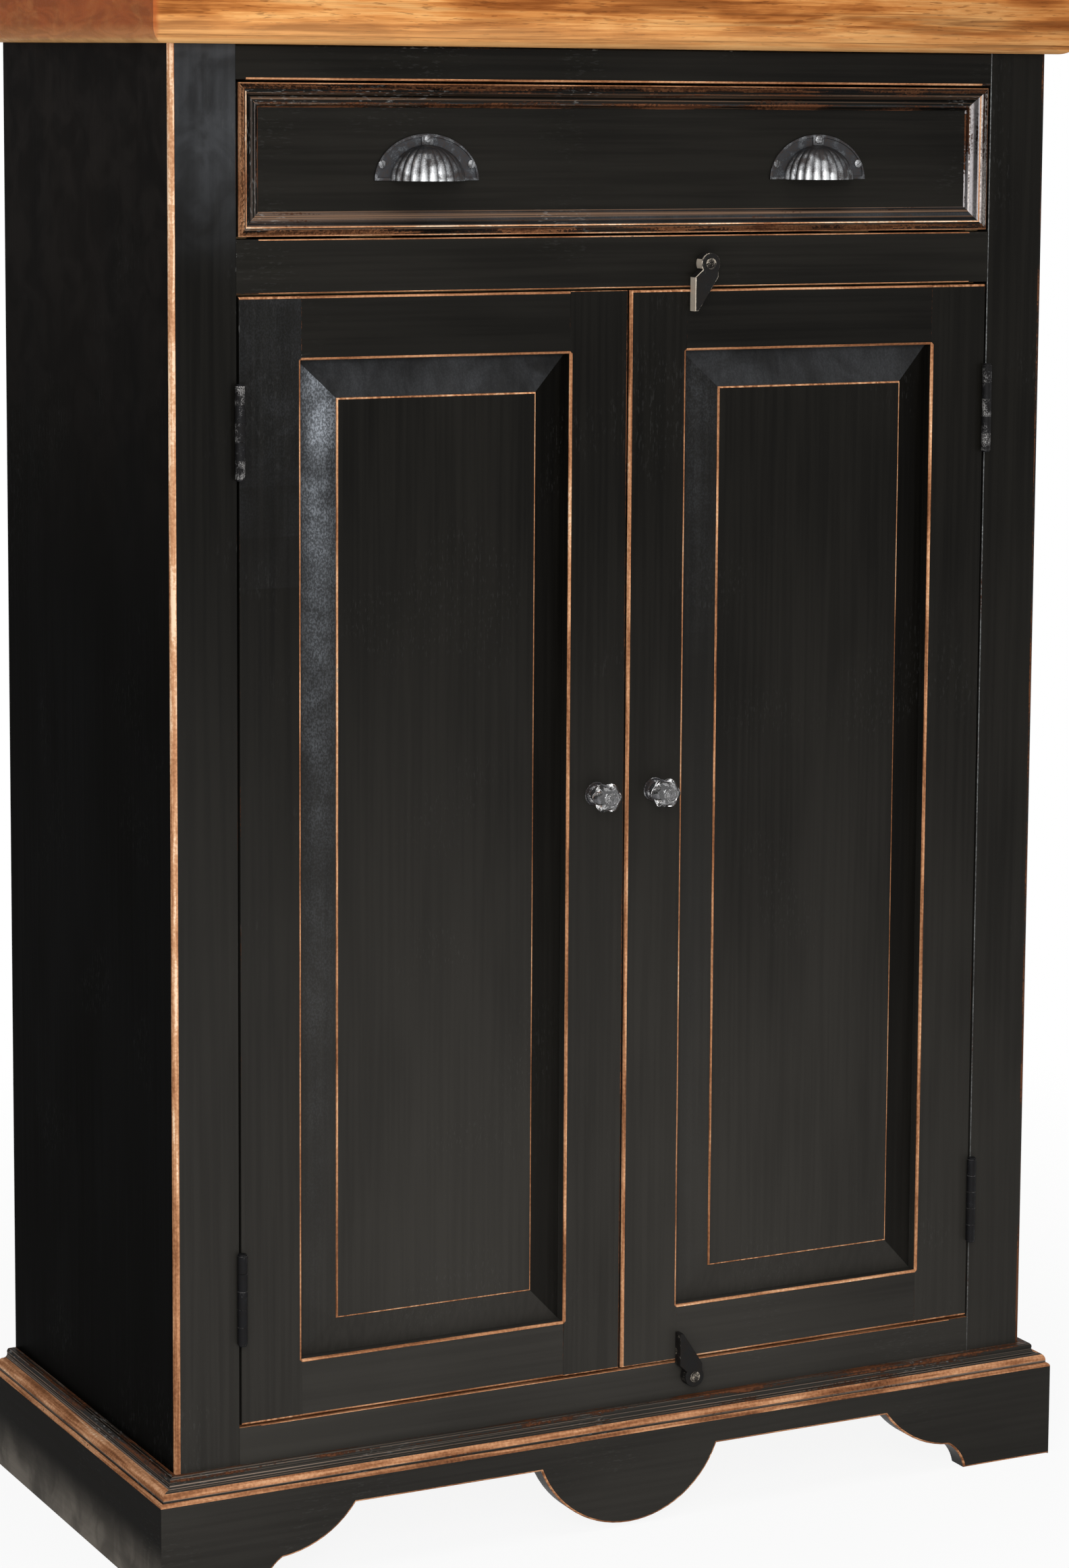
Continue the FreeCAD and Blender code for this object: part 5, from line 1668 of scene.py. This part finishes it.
@dataclass
class Knobs:
    """The two glass knobs with their rosettes; an outline is reach from the back and radius."""

    lobes: int = 6
    lobe_depth: float = 0.19
    head: Steps = (
        (0.0, 6.2 * MM), (1.0 * MM, 6.6 * MM), (3.0 * MM, 5.8 * MM), (6.0 * MM, 5.6 * MM),
        (8.0 * MM, 6.6 * MM), (10.0 * MM, 9.2 * MM), (12.5 * MM, 11.4 * MM), (15.5 * MM, 12.5 * MM),
        (18.5 * MM, 12.3 * MM), (21.5 * MM, 11.0 * MM), (24.0 * MM, 8.9 * MM), (25.8 * MM, 6.6 * MM),
        (26.4 * MM, 5.0 * MM), (27.4 * MM, 4.2 * MM), (28.0 * MM, 2.0 * MM))
    head_start: float = 8.0 * MM
    head_end: float = 26.0 * MM
    head_parts: int = 4
    head_sides: int = 160
    head_smooth_to: float = 60.0
    rosette: Steps = (
        (0.0, 10.0 * MM), (0.8 * MM, 10.0 * MM), (1.5 * MM, 9.5 * MM), (1.7 * MM, 8.4 * MM),
        (2.6 * MM, 8.0 * MM), (3.4 * MM, 7.2 * MM), (4.0 * MM, 6.6 * MM))
    rosette_sides: int = 72
    rosette_smooth_to: float = 35.0
    rosette_front: float = 0.98
    rosette_wear: tuple[float, float] = (0.12, 0.34)

    @staticmethod
    def back(node: str) -> tuple[Vector, float]:
        """The middle of a node's back and its reach."""
        low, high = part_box(node)
        return Vector(((low.x + high.x) / 2, high.y, (low.z + high.z) / 2)), high.y - low.y

    def glass(self, side: str) -> None:
        """Make one lobed glass knob.

        Args:
            side: left or right.
        """
        centre, reach = self.back(f"{side}_knob")
        steps = tuple((far * reach / self.head[-1][0], radius) for far, radius in self.head)
        piece = turned(f"{side}_knob_pressed", centre, eased(steps, self.head_parts), self.head_sides)
        for vertex in piece.data.vertices:
            spot = vertex.co - centre
            share = (-spot.y - self.head_start) / (self.head_end - self.head_start)
            swell = math.sin(math.pi * share) if 0.0 < share < 1.0 else 0.0
            angle = math.atan2(spot.z, spot.x)
            size = 1.0 - self.lobe_depth * swell * (1.0 - abs(math.cos(0.5 * self.lobes * angle)))
            vertex.co = centre + Vector((spot.x * size, spot.y, spot.z * size))
        dress(smooth(piece, self.head_smooth_to), KnobGlass())
        settle(piece, f"{side}_door", GLASS_SLOT, f"{side}_knob")

    def plate(self, side: str) -> None:
        """Make one stepped rosette.

        Args:
            side: left or right.
        """
        centre, _ = self.back(f"{side}_knob_rosette")
        piece = turned(f"{side}_knob_rosette_stepped", centre, self.rosette, self.rosette_sides)
        flat, stepped = self.rosette_wear
        rub(piece, lambda face: stepped if face.normal.y > -self.rosette_front else flat)
        dress(smooth(piece, self.rosette_smooth_to), DarkMetal())
        settle(piece, f"{side}_door", METAL_SLOT, f"{side}_knob_rosette")

    def build(self) -> None:
        """Make both knobs."""
        for side in SIDES:
            self.glass(side)
            self.plate(side)
            keep(f"{side}_knob_bolt", Steel())


@dataclass
class TurnButtons:
    """The two small turn buttons that keep the doors shut, and their screws.

    screw_head gives shares of the head's height and radius, slot_front and slot_depth shares of that height.
    wear is each button's own share of the wear.
    """

    screw_radius: float = 4.6 * MM
    screw_edge: float = 0.1 * MM
    screw_sides: int = 56
    screw_smooth_to: float = 30.0
    shank_share: float = 0.5
    screw_head: Steps = ((0.30, 1.0), (0.45, 0.93), (0.42, 0.74), (0.75, 0.66), (0.95, 0.4), (1.0, 0.15))
    screw_tilt: float = 0.2
    screw_wear: tuple[float, float] = (0.40, 0.25)
    screw_turns: tuple[float, float] = (35.0, -45.0)
    slot_front: float = 0.5
    slot_half: float = 0.5 * MM
    slot_depth: float = 0.45
    head_radius: float = 9.5 * MM
    flat: float = 0.99
    rounded: float = 0.05
    leftward: float = 0.4
    flat_wear: float = 0.12
    # faces that look left get a painted highlight along with their wear
    left_wear_and_highlight: float = 0.80
    edge_wear: float = 0.34
    left_edge_wear_and_highlight: float = 0.95
    head_edge_wear: float = 0.36
    wear: tuple[tuple[str, float], ...] = (("upper", 1.0), ("lower", 0.3))
    finish: DarkMetal = DarkMetal("black_iron", (0.010, 0.010, 0.010), (0.56, 0.49, 0.40),
                                  (0.022, 0.016, 0.012), metallic=0.3, polish=0.42, sheen=0.1)

    def button(self, name: str, share: float, pivot: Vector) -> None:
        """Make one button.

        Args:
            name: upper or lower.
            share: Its share of the wear.
            pivot: Where its screw goes through its face.
        """
        def on_edge(face: Face) -> bool:
            """Whether a face is on the rounding of the front."""
            return -self.flat < face.normal.y < -self.rounded

        copy = Mended(f"{name}_turn_button")
        copy.mark(WEAR, self.flat_wear * share, lambda face: face.normal.y < -self.flat)
        # painted highlight with the wear on faces that look left
        copy.mark(WEAR, self.left_wear_and_highlight * share, lambda face: face.normal.x < -SQUARE)
        copy.mark(WEAR, self.edge_wear * share, on_edge)
        copy.mark(WEAR, self.left_edge_wear_and_highlight * share,
                  lambda face: on_edge(face) and face.normal.x < -self.leftward)
        copy.mark(WEAR, self.head_edge_wear * share,
                  lambda face: on_edge(face) and (middle(face) - pivot).length < self.head_radius)
        copy.done(self.finish, f"{name}_button", IRON_SLOT)

    def screws(self, pivots: Sequence[Vector]) -> None:
        """Make the two ringed screws.

        Args:
            pivots: Where they go through their buttons' faces.
        """
        low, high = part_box("turn_button_screws")
        face = pivots[0].y
        radius = self.screw_radius
        proud = face - low.y
        shank = self.shank_share * radius
        head = [(rise * proud, share * radius) for rise, share in self.screw_head]
        pattern = turned("turn_button_screw", ORIGIN,
                         ((face - high.y, shank), (0.0, shank), (self.screw_edge, radius), *head),
                         self.screw_sides)
        slotted(pattern, -self.slot_front * proud, self.slot_half, self.slot_depth * proud)
        dome, side = self.screw_wear
        rub(pattern, lambda part: dome if part.normal.y < -self.screw_tilt else side)
        heads = [copied(pattern, pivot, degrees) for pivot, degrees in zip(pivots, self.screw_turns)]
        bpy.data.objects.remove(pattern)
        screws = joined("turn_button_screws_ringed", heads)
        dress(smooth(screws, self.screw_smooth_to), self.finish)
        settle(screws, "carcass", IRON_SLOT, "turn_button_screws")

    def build(self) -> None:
        """Make the buttons and the screws."""
        low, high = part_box("turn_button_screws")
        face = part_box("upper_turn_button")[0].y
        radius = self.screw_radius
        pivots = (Vector((high.x - radius, face, high.z - radius)),
                  Vector((low.x + radius, face, low.z + radius)))
        for (name, share), pivot in zip(self.wear, pivots):
            self.button(name, share, pivot)
        self.screws(pivots)


@dataclass
class Hinges:
    """The four butt hinges: leaves let into the wood, knuckles in front of it, and the pins."""

    ring: float = 0.5 * MM
    upper_from: float = 0.6
    # upper knuckles are made paler as a painted sheen
    upper_painted_sheen_share: float = 2.4
    door_share: float = 0.6
    wear: tuple[tuple[str, float, float], ...] = (("left", 0.42, 0.14), ("right", 0.50, 0.14))
    finish: DarkMetal = DarkMetal("hinge_iron", (0.008, 0.008, 0.009), (0.34, 0.33, 0.32),
                                  (0.012, 0.010, 0.008), metallic=0.3, polish=0.34, sheen=0.10)

    def leaves(self, node: str, body: str, ring: float, knuckle: float) -> None:
        """Make the leaves that are fixed to one body.

        Args:
            node: Their node.
            body: The body.
            ring: Wear of the knuckles' ends.
            knuckle: Wear of the knuckles.
        """
        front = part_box("middle_rail")[0].y

        def is_rim(edge: bmesh.types.BMEdge) -> bool:
            """Whether an edge runs round the end of a knuckle."""
            first, second = (vertex.co for vertex in edge.verts)
            return max(first.y, second.y) < front - self.ring and abs(first.z - second.z) < NEAR

        copy = Mended(node).mark(WEAR, knuckle, lambda face: middle(face).y < front)
        # painted sheen on the upper knuckles
        copy.mark(WEAR, self.upper_painted_sheen_share * knuckle,
                  lambda face: middle(face).y < front and middle(face).z > self.upper_from)
        copy.soften(is_rim, self.ring, ring)
        copy.done(self.finish, body, IRON_SLOT)

    def build(self) -> None:
        """Make every leaf and dress the pins."""
        for side, ring, knuckle in self.wear:
            self.leaves(f"{side}_hinge_frame_leaves", "carcass", ring, knuckle)
            self.leaves(f"{side}_hinge_door_leaves", f"{side}_door", ring, self.door_share * knuckle)
        keep("hinge_pins", self.finish)


@dataclass
class KeptNodes:
    """CAD nodes whose shape is right already; only their finish is set."""

    painted: tuple[str, ...] = ("left_side_panel", "right_side_panel")
    upright: tuple[str, ...] = ("back_panel",)
    level: tuple[str, ...] = ("cupboard_floor", "dust_panel", "lower_shelf", "upper_shelf", "rear_top_batten",
                              "drawer_stops", "door_stop_batten", "drawer_back", "drawer_bottom")
    deep: tuple[str, ...] = ("shelf_cleats", "left_drawer_runner", "right_drawer_runner", "drawer_kickers",
                             "drawer_left_side", "drawer_right_side")
    waxed: tuple[str, ...] = ("top_board",)

    def build(self) -> None:
        """Dress each of them."""
        groups = ((self.painted, SIDE_PAINT_SHADE_AND_SHEEN), (self.upright, RawWood()), (self.level, RawWood(Grain.LEVEL)),
                  (self.deep, RawWood(Grain.DEEP)), (self.waxed, TopWood()))
        for names, finish in groups:
            for name in names:
                keep(name, finish)


@dataclass(frozen=True)
class Lamp:
    """A square soft lamp: its name, place, the point that it faces, its side and its power in watts."""

    name: str
    spot: tuple[float, float, float]
    aim: tuple[float, float, float]
    size: float
    power: float

    def hang(self) -> None:
        """Put the lamp into the scene."""
        light = bpy.data.lights.new(self.name, "AREA")
        light.size = self.size
        light.energy = self.power
        lamp = bpy.data.objects.new(self.name, light)
        bpy.context.scene.collection.objects.link(lamp)
        lamp.location = self.spot
        lamp.rotation_euler = (Vector(self.aim) - Vector(self.spot)).to_track_quat("-Z", "Y").to_euler()


@dataclass
class Studio:
    """The pale floor, the white surroundings, the soft lamps and the camera; angles are degrees."""

    floor_half: float = 14.0
    floor_colour: Colour = (0.86, 0.86, 0.86)
    shadow_reach: tuple[float, float] = (0.4, 1.6)
    white_share: tuple[float, float] = (0.90, 1.0)
    ambient: float = 0.30
    lamps: tuple[Lamp, ...] = (Lamp("key", (-1.3, -2.8, 1.7), (0.0, 0.0, 0.65), 1.6, 52.0),
                               Lamp("floor_glow", (-0.2, -1.5, 0.08), (-0.1, -0.17, 0.45), 1.1, 7.0),
                               Lamp("overhead", (0.0, -0.6, 3.2), (0.0, 0.0, 1.2), 1.8, 26.0))
    yaw: float = 28.541
    pitch: float = 7.328
    roll: float = 0.641
    focal_pixels: float = 6278.5
    spot: tuple[float, float, float] = (-1.5818, -3.2063, 1.2092)
    shift: tuple[float, float] = (-0.1059, -0.1122)

    @staticmethod
    def seen(tree: NodeTree) -> Socket:
        """A factor that is 1 where the camera, metal or glass looks at the background.

        Args:
            tree: The tree that it is for.

        Returns:
            The factor.
        """
        camera, glossy, through = (tree.node("ShaderNodeLightPath", {}, {}, f"Is {ray} Ray")
                                   for ray in ("Camera", "Glossy", "Transmission"))
        return camera.at_least(glossy).at_least(through)

    def surroundings(self) -> None:
        """White where it is looked at, a dim even light elsewhere."""
        world = bpy.data.worlds.new("studio")
        bpy.context.scene.world = world
        world.use_nodes = True
        tree = NodeTree(world.node_tree)
        dim, white = (tree.node("ShaderNodeBackground", {}, {"Color": WHITE, "Strength": strength})
                      for strength in (self.ambient, 1.0))
        mixed = tree.node("ShaderNodeMixShader", {}, {0: self.seen(tree), 1: dim, 2: white})
        tree.end("ShaderNodeOutputWorld", mixed)

    def floor(self) -> None:
        """A pale floor that keeps a faint shadow."""
        deselect_all()
        bpy.ops.mesh.primitive_plane_add(size=2 * self.floor_half, location=ORIGIN)
        floor = bpy.context.object
        floor.name = "studio_floor"
        material = bpy.data.materials.new("studio_floor")
        material.use_nodes = True
        tree = NodeTree(material.node_tree)
        lit = tree.node("ShaderNodeBsdfDiffuse", {}, {"Color": self.floor_colour})
        white = tree.node("ShaderNodeEmission", {}, {"Color": WHITE, "Strength": 1.0})
        here = tree.node("ShaderNodeTexCoord", {}, {}, "Object")
        far = tree.node("ShaderNodeVectorMath", {"operation": "LENGTH"}, {0: here}, "Value")
        near_far = dict(enumerate((far, *self.shadow_reach, *self.white_share)))
        share = self.seen(tree) * tree.node("ShaderNodeMapRange", {}, near_far)
        mixed = tree.node("ShaderNodeMixShader", {}, {0: share, 1: lit, 2: white})
        tree.end("ShaderNodeOutputMaterial", mixed)
        floor.data.materials.append(material)

    def camera(self) -> None:
        """Stand the camera at the photograph's place."""
        yaw, pitch, roll = (math.radians(angle) for angle in (self.yaw, self.pitch, self.roll))
        ahead = Vector((math.sin(yaw) * math.cos(pitch), math.cos(yaw) * math.cos(pitch), -math.sin(pitch)))
        right = Vector((math.cos(yaw), -math.sin(yaw), 0.0))
        above = right.cross(ahead)
        across = math.cos(roll) * right + math.sin(roll) * above
        upward = math.cos(roll) * above - math.sin(roll) * right
        lens = bpy.data.cameras.new("camera")
        lens.sensor_width = SENSOR_MM
        lens.sensor_fit = "AUTO"
        lens.lens = self.focal_pixels / IMAGE_HEIGHT * SENSOR_MM
        lens.shift_x, lens.shift_y = self.shift
        camera = bpy.data.objects.new("camera", lens)
        bpy.context.scene.collection.objects.link(camera)
        turned_to = Matrix((across, upward, -ahead)).transposed().to_4x4()
        camera.matrix_world = Matrix.Translation(self.spot) @ turned_to
        bpy.context.scene.camera = camera

    def build(self) -> None:
        """Set up the whole studio."""
        bpy.context.scene.view_settings.view_transform = "Standard"
        self.surroundings()
        self.floor()
        for lamp in self.lamps:
            lamp.hang()
        self.camera()


def main() -> None:
    """Build every sub-assembly in order."""
    logging.basicConfig(level=logging.INFO, format="%(name)s: %(message)s")
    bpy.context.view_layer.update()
    KeptNodes().build()
    FaceFrame().build()
    Plinth().build()
    Door("left", meeting_wear=0.40, meeting_round=1.2 * MM, stile_painted_sheen=0.06,
         bevel_painted_sheen=((0.2, 0.02), (0.6, 0.10), (0.78, 0.28), (0.88, 0.55), (0.96, 1.1))).build()
    Door("right", meeting_wear=1.0, meeting_round=2.4 * MM, stile_painted_sheen=0.0,
         bevel_painted_sheen=((0.2, 0.02), (0.7, 0.0), (0.98, 0.06))).build()
    Drawer().build()
    CupPulls().build()
    Knobs().build()
    TurnButtons().build()
    Hinges().build()
    Studio().build()


if __name__ == "__main__":
    main()
